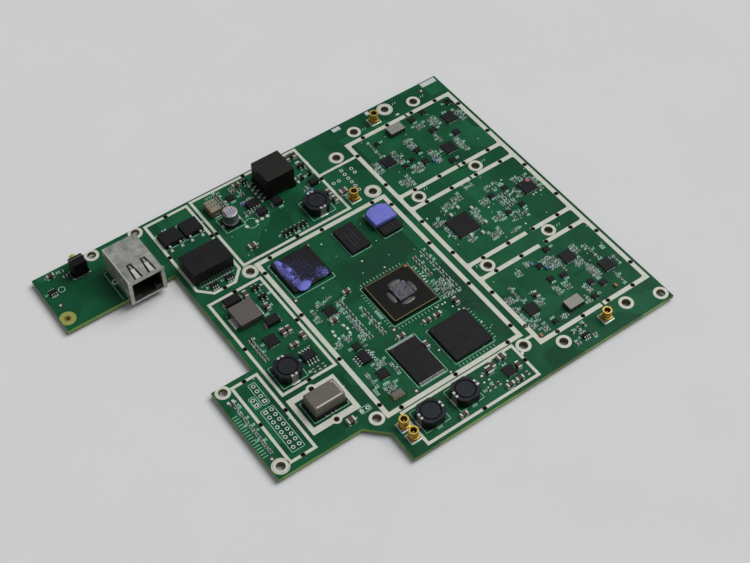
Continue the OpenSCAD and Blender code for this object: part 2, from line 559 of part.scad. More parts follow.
// A bent lead that leaves a body at x = 0 and runs out to a foot on z = 0
module bent_lead(reach, rise, width) {
    translate([0, width / 2, 0]) rotate([90, 0, 0]) linear_extrude(width)
        polygon([[0, rise], [reach * 0.3 + lead_t, rise], [reach * 0.55 + lead_t, lead_t],
                 [reach, lead_t], [reach, 0], [reach * 0.55, 0], [reach * 0.3, rise - lead_t],
                 [0, rise - lead_t]]);
}

// Bent leads along both long sides of a body
module lead_rows(w, count, pitch, reach, rise, width) {
    for (side = [0, 180], i = [0 : count - 1])
        rotate(side) translate([(i - (count - 1) / 2) * pitch, w / 2, 0])
            rotate(90) bent_lead(reach, rise, width);
}

// The solder balls along the rim of a grid array chip
module ball_rim(l, w) {
    nx = floor((l - ball_pitch) / ball_pitch);
    ny = floor((w - ball_pitch) / ball_pitch);
    for (i = [0 : nx], y = [-1, 1])
        translate([(i - nx / 2) * ball_pitch, y * ny / 2 * ball_pitch, 0]) ball();
    for (i = [1 : ny - 1], x = [-1, 1])
        translate([x * nx / 2 * ball_pitch, (i - ny / 2) * ball_pitch, 0]) ball();
}

module ball() {
    cylinder(h = ball_h, r = ball_r, $fn = 16);
}

// A wire of square ends and round bends through points, in its own plane
module wire(points, d) {
    for (i = [0 : len(points) - 2]) {
        run = points[i + 1] - points[i];
        translate(points[i]) rotate(atan2(run.y, run.x))
            translate([0, -d / 2]) square([norm(run), d]);
    }
    for (i = [1 : len(points) - 2])
        translate(points[i]) circle(d / 2, $fn = 16);
}

// ---- Laminate -------------------------------------------------------------------

module outline() {
    polygon([[0, board_w], [board_l, board_w], [board_l, 0], [corner_x, 0],
             [corner_x, corner_cut_w - corner_slope], [corner_x - corner_slope, corner_cut_w],
             [arm_x, corner_cut_w], [arm_x, arm_top], [port_arm_l, arm_top],
             [port_arm_l, port.y], [0, port.y]]);
}

module holes(places, r) {
    for (p = places)
        translate(p) circle(r);
}

module jack_holes() {
    for (i = [0 : 7])
        translate(on(jack, jack_contact_x(i), jack_pin_y[i % 2])) circle(contact_t * 0.9, $fn = 16);
    for (x = [0, jack_w])
        translate(on(jack, x, jack_leg_y)) circle(jack_leg_w * 0.65);
    for (x = [peg_at.x, jack_w - peg_at.x])
        translate(on(jack, x, peg_at.y)) circle(peg_r + fit);
}

module coax_holes() {
    for (p = COAXES) {
        translate(p) circle(coax_pin_r + 0.15, $fn = 16);
        for (x = [-1, 1], y = [-1, 1])
            translate([p.x + x * coax_leg_at, p.y + y * coax_leg_at])
                circle(coax_leg * 0.8, $fn = 16);
    }
}

module indicator_holes() {
    for (x = [-1, 1])
        translate([indicator.x + x * indicator_pitch / 2, indicator.y]) circle(indicator_pin * 0.8, $fn = 16);
}

module board() {
    color("darkgreen") on_top() translate([0, 0, -board_t]) linear_extrude(board_t)
        difference() {
            outline();
            holes(MOUNTS, mount_hole_r);
            holes([tooling_hole], tooling_r);
            holes(concat(RADIO_PINS, CORE_PINS, CELL_PINS), fence_hole_r);
            holes(CLOCK_PINS, clock_pin_r);
            holes(HEADERS, header_hole_r);
            jack_holes();
            coax_holes();
            indicator_holes();
        }
}

// ---- Tracks and lands -----------------------------------------------------------

// The outline of a cell, inset by a width, with its lower corners cut off at 45 degrees
module cell_outline(l, w, inset, slope = 0) {
    s = max(slope - inset * (2 - sqrt(2)), 0);
    polygon([[inset + s, inset], [l - inset - s, inset], [l - inset, inset + s],
             [l - inset, w - inset], [inset, w - inset], [inset, inset + s]]);
}

// A cell's track
module cell_frame(l, w, track_w, slope = 0) {
    difference() {
        cell_outline(l, w, 0, slope);
        cell_outline(l, w, track_w, slope);
    }
}

// A slim track: a frame that its cell's pin holes part
module slim_track(zone, l, w, slope = 0) {
    difference() {
        translate(xy(zone)) cell_frame(l, w, slim_track_w, slope);
        holes(CELL_PINS, fence_hole_r);
    }
}

// Slits across the tracks that run along the board
module slits(places, width) {
    for (p = places)
        translate(p) square([width, 2.2 * broad_track_w], center = true);
}

module power_cell_tracks() {
    color("wheat") on_top() linear_extrude(track_t) {
        slim_track(power, power_cell_l, power_cell_w, 5.2);
        slim_track(buck, buck_cell_l, buck_cell_w);
    }
}

module converter_cell_track() {
    color("wheat") on_top() linear_extrude(track_t) {
        slim_track(converter, converter_cell_l, converter_cell_w);
        translate(on(converter_end, 0, 21.8)) square([radio_x - converter_end.x, slim_track_w]);
    }
}

module core_cell_track() {
    color("wheat") on_top() linear_extrude(track_t) difference() {
        translate(xy(core)) cell_frame(core_cell_l, core_cell_w, broad_track_w);
        holes(CORE_PINS, fence_hole_r);
    }
}

module clock_cell_tracks() {
    color("wheat") on_top() linear_extrude(track_t) {
        difference() {
            union() {
                translate(xy(clock)) difference() {
                    square([clock_cell_l, clock_cell_w]);
                    translate([broad_track_w, clock_bar_w])
                        square([clock_cell_l - 2 * broad_track_w, clock_cell_w - 2 * clock_bar_w]);
                }
                holes(CLOCK_PINS, clock_pin_land);
            }
            holes(CLOCK_PINS, clock_pin_r);
        }
        slim_track(header, header_cell_l, header_cell_w);
    }
}

module edge_cell_track() {
    color("wheat") on_top() linear_extrude(track_t) slim_track(edge, edge_cell_l, edge_cell_w);
}

// The three radio cells share their side tracks; the strips between them stay bare
module radio_cell_tracks() {
    inner_l = radio_cell_l - 2 * broad_track_w;
    inner_r = 1;
    color("wheat") on_top() linear_extrude(track_t) difference() {
        translate(xy(radio_low)) square([radio_cell_l, 2 * radio_step + radio_cell_w]);
        for (c = RADIO) {
            translate(on(c, radio_cell_l / 2, radio_cell_w / 2))
                round_rectangle(inner_l, radio_cell_w - 2 * broad_track_w, inner_r);
            slits([on(c, 31.5, 0), on(c, 31.5, radio_cell_w)], slit_w);
        }
        slits([on(radio_mid, 32.2, 0), on(radio_low, 32.2, radio_cell_w)], slit_w * 2.6);
        for (c = [radio_mid, radio_top])
            translate(on(c, radio_cell_l / 2, -radio_gap / 2))
                round_rectangle(inner_l, radio_gap, inner_r);
        holes(RADIO_PINS, fence_hole_r);
    }
}

// Rings round the mounting holes, cut off where they meet the board's edge
module mounting_lands() {
    link_rise = 1;
    link_room = 5;
    cell_side = on(edge, edge_cell_l, 11);
    link_turn = atan2(cell_side.y - linked_mount.y, cell_side.x - linked_mount.x);
    color("wheat") on_top() linear_extrude(track_t) {
        difference() {
            intersection() {
                union() {
                    holes(MOUNTS, mount_land_r);
                    holes([tooling_hole], mount_land_r);
                }
                outline();
            }
            holes(MOUNTS, mount_hole_r);
            holes([tooling_hole], tooling_r);
        }
        translate(linked_mount) difference() {
            union() {
                translate([0, link_rise]) square([radio_x - linked_mount.x, slim_track_w]);
                rotate(link_turn) translate([0, -slim_track_w / 2])
                    square([norm(linked_mount - cell_side), slim_track_w]);
            }
            circle(mount_land_r);
            translate(cell_side - linked_mount - [link_room, link_room]) square([link_room, 2 * link_room]);
        }
    }
}

module header_lands() {
    color("silver") on_top() linear_extrude(track_t) {
        difference() {
            union() {
                holes(HEADERS, header_land_r);
                for (p = FIRST_PINS)
                    translate(p) square(2 * header_land_r, center = true);
            }
            holes(HEADERS, header_hole_r);
        }
        holes(BARE_PADS, header_land_r);
        for (p = PAD_PAIRS)
            translate(p) square(pad_size, center = true);
        for (x = [0, jack_w])
            translate(on(jack, x, jack_leg_y)) difference() {
                circle(jack_leg_w * 1.2);
                circle(jack_leg_w * 0.65);
                translate([x > 0 ? -jack_leg_w * 2 : 0, -jack_leg_w * 1.5])
                    square([jack_leg_w * 2, jack_leg_w * 3]);
            }
    }
}

module fiducials() {
    color("silver") on_top() linear_extrude(track_t) holes(FIDUCIALS, fiducial_r);
}

// ---- Network socket ---------------------------------------------------------------
// Drawn from its front left lower corner, its mouth towards -Y

function jack_contact_x(i) = jack_w / 2 + (i - 3.5) * contact_pitch;

// The mouth, as seen from the front
module mouth() {
    translate([(jack_w - plug_w) / 2, plug_z]) square([plug_w, plug_h]);
    translate([(jack_w - latch_w) / 2, plug_z - latch_h]) square([latch_w, latch_h + cut]);
}

module mouth_cut(length) {
    translate([0, length, 0]) rotate([90, 0, 0]) linear_extrude(length) mouth();
}

// A tapered tongue with a round tip, from its root at y = 0
module tongue_shape(root, tip, length, back = 0) {
    polygon([[-root / 2, -back], [root / 2, -back], [root / 2, 0], [tip / 2, length - tip / 2],
             [-tip / 2, length - tip / 2], [-root / 2, 0]]);
    translate([0, length - tip / 2]) circle(tip / 2, $fn = 24);
}

// The slit that frees a spring tongue from the sheet
module tongue_slit(size) {
    difference() {
        tongue_shape(size[0], size[1], size[2]);
        tongue_shape(size[0] - 2 * tongue_slit_w, size[1] - 2 * tongue_slit_w, size[2] - tongue_slit_w, cut);
    }
}

module jack_shell() {
    color("lightgray") on_top() translate(jack) {
        difference() {
            union() {
                cube([jack_w, jack_l, jack_h]);
                translate([-jack_flange, 0, 0])
                    cube([jack_w + 2 * jack_flange, 2 * jack_sheet, jack_h + jack_flange]);
            }
            translate([jack_sheet, jack_sheet, -cut])
                cube([jack_w - 2 * jack_sheet, jack_l - 2 * jack_sheet, jack_h - jack_sheet + cut]);
            translate([jack_rim, -cut, jack_rim])
                cube([jack_w - 2 * jack_rim, 2 * jack_sheet + 2 * cut, jack_h - 2 * jack_rim]);
            for (x = [0.32, 0.73])
                translate([jack_w * x, tongue_y, jack_h - jack_sheet - cut])
                    linear_extrude(jack_sheet + 2 * cut) tongue_slit(tongue);
            for (x = [-cut, jack_w - jack_sheet - cut])
                translate([x, tongue_y, jack_h * 0.36]) rotate([90, 0, 90])
                    linear_extrude(jack_sheet + 2 * cut) rotate(-90) tongue_slit(side_tongue);
        }
        for (x = [0, jack_w - jack_sheet])
            translate([x, jack_leg_y - jack_leg_w / 2, -board_t - tip_out])
                cube([jack_sheet, jack_leg_w, board_t + tip_out + cut]);
    }
}

module jack_insert() {
    inner_w = jack_w - 2 * jack_sheet - 2 * fit;
    slot_w = contact_t + 2 * fit;
    color("dimgray") on_top() translate(jack) {
        difference() {
            translate([jack_sheet + fit, jack_sheet, 0])
                cube([inner_w, jack_l - 2 * jack_sheet - fit, jack_h - jack_sheet - fit]);
            translate([0, jack_sheet - cut, 0]) mouth_cut(plug_l + cut);
            for (i = [0 : 7])
                translate([jack_contact_x(i) - slot_w / 2, jack_sheet + plug_l - cut, -cut])
                    cube([slot_w, jack_pin_y[i % 2] + contact_t / 2 - jack_sheet - plug_l + cut,
                          plug_z + plug_h + cut]);
        }
        for (x = [peg_at.x, jack_w - peg_at.x])
            translate([x, peg_at.y, -board_t - tip_out * 0.6])
                cylinder(h = board_t + tip_out * 0.6 + fit, r = peg_r);
    }
}

module jack_contacts() {
    run_z = plug_z + plug_h - contact_t / 2;
    color("gold") on_top() translate(jack)
        for (i = [0 : 7])
            translate([jack_contact_x(i) - contact_t / 2, 0, 0]) rotate([90, 0, 90])
                linear_extrude(contact_t)
                    wire([[jack_pin_y[i % 2], -board_t - tip_out], [jack_pin_y[i % 2], run_z],
                          [4.6, run_z], [10.6, plug_z + 1.6]], contact_t);
}

// ---- Indicator --------------------------------------------------------------------

module indicator_housing() {
    flange = 0.8;
    color("black") on_top() at(indicator) difference() {
        union() {
            slab(indicator_w, indicator_l, indicator_h);
            slab(indicator_w + 2 * flange, indicator_l - 1, 1.2);
        }
        translate([0, 0, lens_z]) rotate([-90, 0, 0]) cylinder(h = indicator_l, r = lens_r);
        translate([0, 0, indicator_h]) rotate([0, 90, 0])
            cylinder(h = indicator_w * 0.5, r = 0.4, center = true);
    }
}

module indicator_led() {
    length = indicator_l / 2 + lens_out - lens_r;
    color("yellowgreen") on_top() at(indicator) translate([0, 0, lens_z]) rotate([-90, 0, 0]) {
        cylinder(h = length, r = lens_r);
        translate([0, 0, length]) sphere(lens_r);
    }
}

module indicator_leads() {
    color("silver") on_top() at(indicator)
        for (x = [-1, 1])
            translate([x * indicator_pitch / 2, 0, -board_t - tip_out])
                slab(indicator_pin, indicator_pin, board_t + tip_out);
}

// ---- Transformers -----------------------------------------------------------------

module lan_transformer_body() {
    color("black") on_top() at(lan) difference() {
        translate([0, 0, lift]) moulded_body(lan_l, lan_w, lan_h - lift, 0.3, lan_plane);
        translate([-lan_l / 2 + 1.6, -lan_w / 2 + 1.8, lan_h - 0.15]) cylinder(h = cut, r = 0.6);
    }
}

module lan_transformer_leads() {
    color("silver") on_top() at(lan)
        lead_rows(lan_w, 12, lan_pitch, lan_reach, lift + lan_plane + lead_t / 2, lan_pin_w);
}

module flyback_core() {
    core_h = flyback_h - bobbin_h;
    color("black") on_top() at(flyback) translate([0, 0, bobbin_h]) difference() {
        round_plate(flyback_l, flyback_w, core_h, 0.4);
        for (y = [-1, 1])
            translate([0, y * flyback_w / 2, -cut]) slab(flyback_l * 0.5, 0.6, core_h * 0.5 + cut);
    }
}

module flyback_bobbin() {
    rail = 2.6;
    color("dimgray") on_top() at(flyback) {
        translate([0, 0, bobbin_h - 1]) slab(flyback_l + 1.2, flyback_w, 1);
        for (x = [-1, 1])
            translate([x * (flyback_l / 2 - rail / 2 + 0.6), 0, 0]) slab(rail, flyback_w, bobbin_h);
    }
}

module flyback_pins() {
    color("silver") on_top() at(flyback)
        for (side = [0, 180], i = [0 : 4])
            rotate(side) translate([flyback_l / 2 + 0.6, (i - 2) * flyback_pitch * 0.98, 0])
                bent_lead(2, 1.2, 0.7);
}

// ---- Power parts ------------------------------------------------------------------

module power_transistor_bodies() {
    color("black") on_top()
        for (p = transistors)
            at(p) translate([0, 0, lead_t])
                moulded_body(transistor_l, transistor_w, transistor_h - lead_t, 0.25);
}

module power_transistor_leads() {
    tab_out = 1.2;
    color("silver") on_top()
        for (p = transistors)
            at(p) {
                translate([0, tab_out / 2 + 0.8, 0]) slab(transistor_l - 1.4, transistor_w + tab_out - 1.6, lead_t);
                for (x = [-1, 1])
                    translate([x * 2.4, -transistor_w / 2, 0]) rotate(-90)
                        bent_lead(2.2, transistor_h / 2 + lead_t, 0.9);
            }
}

module tantalum_body() {
    color("tan") on_top() at(tantalum) translate([0, 0, lead_t])
        slab(tantalum_w, tantalum_l, tantalum_h - lead_t);
}

module tantalum_terminals() {
    color("silver") on_top() at(tantalum)
        for (side = [0, 180])
            rotate(side) {
                translate([0, tantalum_l / 2 - 0.65, 0]) slab(2.4, 1.3, lead_t);
                translate([0, tantalum_l / 2 + lead_t / 2, 0]) slab(2.4, lead_t, tantalum_h * 0.45);
            }
}

module electrolytic_can() {
    r = can_r;
    bend = 0.5;
    color("silver") on_top() at(electrolytic) translate([0, 0, can_base_t]) rotate_extrude() {
        h = can_h - can_base_t;
        difference() {
            union() {
                square([r - bend, h]);
                square([r, h - bend]);
                translate([r - bend, h - bend]) circle(bend);
            }
            translate([r + 0.35, 1.1]) circle(0.6);
            translate([-cut, -cut]) square([cut, h + 2 * cut]);
        }
    }
}

module electrolytic_base() {
    side = 2 * can_r + 0.3;
    color("black") on_top() at(electrolytic) translate([0, 0, lead_t])
        linear_extrude(can_base_t - lead_t)
            polygon([[-side / 2, -side / 2 + 1.2], [-side / 2 + 1.2, -side / 2], [side / 2, -side / 2],
                     [side / 2, side / 2], [-side / 2 + 1.2, side / 2], [-side / 2, side / 2 - 1.2]]);
}

module electrolytic_leads() {
    color("silver") on_top() at(electrolytic)
        for (x = [-1, 1])
            translate([x * can_r, 0, 0]) slab(2, 0.7, lead_t);
}

// A square with its four corners cut off
module cut_square(side, corner) {
    a = side / 2;
    b = a - corner;
    polygon([[-a, -b], [-b, -a], [b, -a], [a, -b], [a, b], [b, a], [-b, a], [-a, b]]);
}

module drum_coil_cores() {
    ring = 0.4;
    color("dimgray") on_top()
        for (d = DRUMS)
            at(d[0], d[1]) translate([0, 0, lead_t]) difference() {
                linear_extrude(drum_h - 2 * lead_t) cut_square(drum_side, drum_corner);
                translate([0, 0, drum_h - 2 * lead_t - ring]) difference() {
                    cylinder(h = cut, r = drum_r + ring);
                    translate([0, 0, -cut]) cylinder(h = 3 * cut, r = drum_r);
                }
            }
}

// The clips stand at two sides of a coil and claw over its top
module drum_coil_clips() {
    foot = 2.4;
    claw = 1;
    color("silver") on_top()
        for (d = DRUMS)
            at(d[0], d[1])
                for (side = [0, 180])
                    rotate(side) translate([drum_side / 2, 0, 0]) {
                        translate([drum_foot_out - foot / 2, 0, 0]) slab(foot, drum_clip_w, lead_t);
                        translate([lead_t / 2, 0, 0]) slab(lead_t, drum_clip_w, drum_h);
                        for (y = [-1, 1])
                            translate([lead_t - claw / 2, y * (drum_clip_w - claw) / 2, drum_h - lead_t])
                                slab(claw, claw, lead_t);
                    }
}

module moulded_coil_body() {
    color("rosybrown") on_top() at(moulded) difference() {
        translate([0, 0, lead_t]) round_plate(moulded_side, moulded_side, moulded_h - lead_t, 0.5);
        for (x = [-1, 1])
            translate([x * moulded_side / 2, 0, -cut]) slab(2 * lead_t, moulded_clip_w + 0.2, moulded_h * 0.6 + cut);
    }
}

module moulded_coil_terminals() {
    moulded_foot = 2.4;
    color("silver") on_top() at(moulded)
        for (side = [0, 180])
            rotate(side) {
                translate([moulded_side / 2, 0, 0]) slab(moulded_foot, moulded_clip_w, lead_t);
                translate([moulded_side / 2 - lead_t / 2, 0, 0]) slab(lead_t, moulded_clip_w, moulded_h * 0.6);
            }
}

module diode_bodies() {
    color("black") on_top()
        for (d = DIODES)
            at(d[0]) translate([0, 0, lead_t]) rotate(90) moulded_body(d[2], d[1], diode_h - lead_t, 0.25);
}

module diode_terminals() {
    color("silver") on_top()
        for (d = DIODES)
            at(d[0])
                for (side = [0, 180])
                    rotate(side) {
                        translate([d[1] / 2 - 0.5, 0, 0]) slab(1.4, d[2] * 0.6, lead_t);
                        translate([d[1] / 2 + lead_t / 2, 0, 0])
                            slab(lead_t, d[2] * 0.6, diode_h / 2 + lead_t);
                    }
}

// ---- Leaded and leadless chips ----------------------------------------------------

module leaded_bodies(chips) {
    for (c = chips)
        at(c[0], c[5]) translate([0, 0, lift]) moulded_body(c[1], c[2], leaded_h - lift, 0.15);
}

module leaded_leads(chips, reach) {
    for (c = chips)
        at(c[0], c[5]) lead_rows(c[2], c[3], c[4], reach, (lift + leaded_h + lead_t) / 2, leaded_pin_w);
}

module soic_bodies() {
    color("black") on_top() leaded_bodies(SOICS);
}

module soic_leads() {
    color("silver") on_top() leaded_leads(SOICS, soic_reach);
}

module sot_bodies() {
    color("black") on_top() leaded_bodies(SOTS);
}

module sot_leads() {
    color("silver") on_top() leaded_leads(SOTS, lead_reach);
}

module leadless_bodies() {
    color("black") on_top()
        for (z = LEADLESS, c = z[1])
            at(in_cell(z[0], c.x, c.y)) translate([0, 0, track_t]) slab(c[2], c[3], leadless_h - track_t);
}

module leadless_pads() {
    color("silver") on_top()
        for (z = LEADLESS, c = z[1])
            at(in_cell(z[0], c.x, c.y)) slab(c[2] * 0.6, c[3] * 0.6, track_t);
}

// ---- Oscillator, crystal and filters ----------------------------------------------

module oscillator_base() {
    color("darkslategray") on_top() at(oscillator)
        round_plate(oscillator_l, oscillator_w, oscillator_base_t, 0.5);
}

module oscillator_can() {
    edge_r = 0.6;
    l = oscillator_l - 1;
    w = oscillator_w - 1;
    h = oscillator_h - oscillator_base_t;
    color("silver") on_top() at(oscillator) translate([0, 0, oscillator_base_t])
        hull()
            for (x = [-1, 1], y = [-1, 1])
                translate([x * (l / 2 - edge_r), y * (w / 2 - edge_r), 0]) {
                    cylinder(h = h - edge_r, r = edge_r, $fn = 24);
                    translate([0, 0, h - edge_r]) sphere(edge_r, $fn = 24);
                }
}

module crystal_base() {
    color("goldenrod") on_top() at(crystal) slab(crystal_size.x, crystal_size.y, crystal_size.z * 0.55);
}

module crystal_lid() {
    color("silver") on_top() at(crystal) translate([0, 0, crystal_size.z * 0.55])
        round_plate(crystal_size.x - 0.6, crystal_size.y - 0.6, crystal_size.z * 0.45, 0.4);
}

// Ceramic resonator blocks with a bored front and a screening plate on the top
module filter_blocks() {
    color("ivory") on_top()
        for (p = FILTERS)
            at(p) difference() {
                slab(filter_size.x, filter_size.y, filter_size.z);
                for (i = [-1 : 1])
                    translate([i * filter_size.x * 0.27, 0, filter_size.z * 0.45]) rotate([90, 0, 0])
                        cylinder(h = filter_size.y + cut, r = 0.4, center = true, $fn = 24);
            }
}

module filter_plates() {
    sheet = 0.15;
    color("silver") on_top()
        for (p = FILTERS)
            at(p) translate([0, 0, filter_size.z]) slab(filter_size.x, filter_size.y, sheet);
}

// ---- Coaxial connectors -----------------------------------------------------------

module coax_shells() {
    color("gold") on_top()
        for (p = COAXES)
            at(p) {
                difference() {
                    union() {
                        slab(coax_base, coax_base, coax_base_t);
                        cylinder(h = coax_h, r = coax_barrel_r);
                    }
                    translate([0, 0, -cut]) cylinder(h = coax_h + 2 * cut, r = coax_bore_r);
                    translate([0, 0, coax_h * 0.78]) rotate_extrude()
                        translate([coax_barrel_r + 0.1, 0]) circle(0.25, $fn = 16);
                }
                for (x = [-1, 1], y = [-1, 1])
                    translate([x * coax_leg_at, y * coax_leg_at, -board_t - tip_out])
                        slab(coax_leg, coax_leg, board_t + tip_out);
            }
}

module coax_insulators() {
    color("white") on_top()
        for (p = COAXES)
            at(p) difference() {
                cylinder(h = coax_h * 0.4, r = coax_bore_r);
                translate([0, 0, -cut]) cylinder(h = coax_h, r = coax_pin_r, $fn = 24);
            }
}

module coax_pins() {
    color("gold") on_top()
        for (p = COAXES)
            at(p) translate([0, 0, -board_t - tip_out])
                cylinder(h = board_t + tip_out + coax_h * 0.75, r = coax_pin_r, $fn = 24);
}

// ---- Large chips ------------------------------------------------------------------

module processor_substrate() {
    color("darkgreen") on_top() at(processor) translate([0, 0, ball_h])
        slab(processor_side, processor_side, substrate_t);
}

module processor_die() {
    color("gray") on_top() at(processor) translate([0.5, 0, ball_h + substrate_t]) slab(die_l, die_w, die_t);
}

module memory_bodies() {
    color("black") on_top()
        for (p = MEMORIES)
            at(p) translate([0, 0, ball_h]) slab(memory_w, memory_l, array_t);
}

module array_bodies() {
    color("black") on_top()
        for (p = ARRAYS)
            at(p) translate([0, 0, ball_h]) slab(array_side, array_side, array_t);
}

module chip_balls() {
    color("silver") on_top() {
        at(processor) ball_rim(processor_side, processor_side);
        for (p = ARRAYS)
            at(p) ball_rim(array_side, array_side);
        for (p = MEMORIES)
            at(p) ball_rim(memory_w, memory_l);
    }
}

module flash_body() {
    color("black") on_top() at(flash) translate([0, 0, lift])
        moulded_body(flash_l, flash_w, leadless_h, 0.2);
}

module flash_leads() {
    flash_leads_n = 24;
    color("silver") on_top() at(flash)
        lead_rows(flash_w, flash_leads_n, flash_l * 0.96 / flash_leads_n, 0.9, lift + (leadless_h + lead_t) / 2,
                  0.24);
}

// The soft pad that carries a memory chip's heat to the housing: its far side is cut to an arc
module heat_pads() {
    bow = 0.8 * heat_pad_size.x;
    color("mediumpurple") on_top() at(heat_pad) translate([0, 0, ball_h + array_t]) linear_extrude(heat_pad_t)
        intersection() {
            square(heat_pad_size, center = true);
            translate([0, heat_pad_size.y / 2 - bow]) circle(bow);
        }
}

// ---- Chip parts -------------------------------------------------------------------

module bodies(parts, l, w, h) {
    for (p = parts)
        at(p[0], p[1]) slab(l * (1 - 2 * cap_share), w, h);
}

module end_caps(parts, l, w, h) {
    for (p = parts, side = [0, 180])
        at(p[0], p[1] + side) translate([l * (1 - cap_share) / 2, 0, 0]) slab(l * cap_share, w, h);
}

module capacitor_bodies() {
    color("peru") on_top() {
        bodies(LARGE_CAPS, medium_l, large_w, medium_t);
        bodies(MEDIUM_CAPS, medium_l, medium_w, medium_t);
        bodies(SMALL_CAPS, small_l, small_w, small_t);
        bodies(TINY_CAPS, tiny_l, tiny_w, tiny_t);
    }
}

module resistor_bodies() {
    color("dimgray") on_top() {
        bodies(SMALL_RESISTORS, small_l, small_w, resistor_t);
        bodies(TINY_RESISTORS, tiny_l, tiny_w, resistor_t);
    }
}

module chip_end_caps() {
    color("silver") on_top() {
        end_caps(LARGE_CAPS, medium_l, large_w, medium_t);
        end_caps(MEDIUM_CAPS, medium_l, medium_w, medium_t);
        end_caps(SMALL_CAPS, small_l, small_w, small_t);
        end_caps(TINY_CAPS, tiny_l, tiny_w, tiny_t);
        end_caps(SMALL_RESISTORS, small_l, small_w, resistor_t);
        end_caps(TINY_RESISTORS, tiny_l, tiny_w, resistor_t);
    }
}

board();
power_cell_tracks();
converter_cell_track();
core_cell_track();
clock_cell_tracks();
edge_cell_track();
radio_cell_tracks();
mounting_lands();
header_lands();
fiducials();
jack_shell();
jack_insert();
jack_contacts();
indicator_housing();
indicator_led();
indicator_leads();
lan_transformer_body();
lan_transformer_leads();
power_transistor_bodies();
power_transistor_leads();
flyback_core();
flyback_bobbin();
flyback_pins();
tantalum_body();
tantalum_terminals();
electrolytic_can();
electrolytic_base();
electrolytic_leads();
drum_coil_cores();
drum_coil_clips();
moulded_coil_body();
moulded_coil_terminals();
diode_bodies();
diode_terminals();
soic_bodies();
soic_leads();
sot_bodies();
sot_leads();
leadless_bodies();
leadless_pads();
oscillator_base();
oscillator_can();
crystal_base();
crystal_lid();
filter_blocks();
filter_plates();
coax_shells();
coax_insulators();
coax_pins();
processor_substrate();
processor_die();
memory_bodies();
array_bodies();
chip_balls();
flash_body();
flash_leads();
heat_pads();
capacitor_bodies();
resistor_bodies();
chip_end_caps();
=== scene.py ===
"""Dresses the circuit board of a radio network unit in its finishes.

The laminate, tracks, sockets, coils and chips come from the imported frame. This script
rounds their edges, gives each its finish, and adds what is too thin or too fine for the
source: printed outlines, masked traces, vias, solder, plated bores and soft pads.
Places on the board are given in millimetres from the lower left corner of its outline.
"""

import logging
import math
import random
from collections.abc import Sequence
from dataclasses import dataclass
from enum import Enum

import bmesh
import bpy
from mathutils import Matrix, Vector

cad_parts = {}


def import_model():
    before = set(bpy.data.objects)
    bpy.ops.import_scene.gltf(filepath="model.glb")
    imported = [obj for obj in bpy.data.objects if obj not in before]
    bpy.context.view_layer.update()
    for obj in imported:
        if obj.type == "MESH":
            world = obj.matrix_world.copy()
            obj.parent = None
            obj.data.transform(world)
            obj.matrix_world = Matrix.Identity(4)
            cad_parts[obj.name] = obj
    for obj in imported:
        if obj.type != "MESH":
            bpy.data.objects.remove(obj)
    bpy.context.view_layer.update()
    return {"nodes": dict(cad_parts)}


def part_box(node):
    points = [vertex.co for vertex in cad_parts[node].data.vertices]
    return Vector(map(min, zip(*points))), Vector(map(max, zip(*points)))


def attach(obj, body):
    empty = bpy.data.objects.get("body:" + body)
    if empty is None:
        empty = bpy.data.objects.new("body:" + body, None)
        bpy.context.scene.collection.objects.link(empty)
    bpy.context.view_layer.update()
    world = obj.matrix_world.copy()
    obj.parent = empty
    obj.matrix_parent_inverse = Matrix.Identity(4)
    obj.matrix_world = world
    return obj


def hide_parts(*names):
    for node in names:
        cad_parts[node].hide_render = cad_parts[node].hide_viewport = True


LOG = logging.getLogger("board")
MM = 0.001
BODY = "root"
MIX_A, MIX_B, MIX_OUT = 6, 7, 2  # the colour sockets of a Mix node
NOISE_LOW, NOISE_HIGH = 0.3, 0.7  # where most of a noise lies
SMOOTHEST = 0.02  # the least roughness
WELD = 1e-7
FLAT = math.radians(1)  # faces that meet at less than this become one
SHARP = math.radians(30)  # edges that turn more than this get rounded
LEVEL = 0.5  # a face whose normal rises more than this lies level
SEED = 11

Mesh = bmesh.types.BMesh
Node = bpy.types.Object
Socket = bpy.types.NodeSocket
Place = tuple[float, float]
Triple = tuple[float, float, float]
Span = tuple[float, float, float, float]  # x and y of two opposite corners
Patch = tuple[float, float, float, float]  # x and y of the middle, and the two side lengths
Streak = tuple[float, float, float, float, float]  # a patch and its turn in degrees
Smear = tuple[float, float, float, float, float, float, float]  # place, level, side lengths, turn


def linear(code: str) -> tuple[float, float, float, float]:
    """Turns an sRGB hex colour into a linear one.

    Args:
        code: the colour as "#rrggbb".

    Returns:
        Red, green, blue and alpha, opaque.
    """
    shares = [int(code[i : i + 2], 16) / 255 for i in (1, 3, 5)]
    red, green, blue = (s / 12.92 if s <= 0.04045 else ((s + 0.055) / 1.055) ** 2.4 for s in shares)
    return red, green, blue, 1.0


def mm(x: float, y: float, z: float) -> Vector:
    """Returns a vector in metres from lengths in millimetres."""
    return Vector((x, y, z)) * MM


# ---- Finishes ---------------------------------------------------------------------


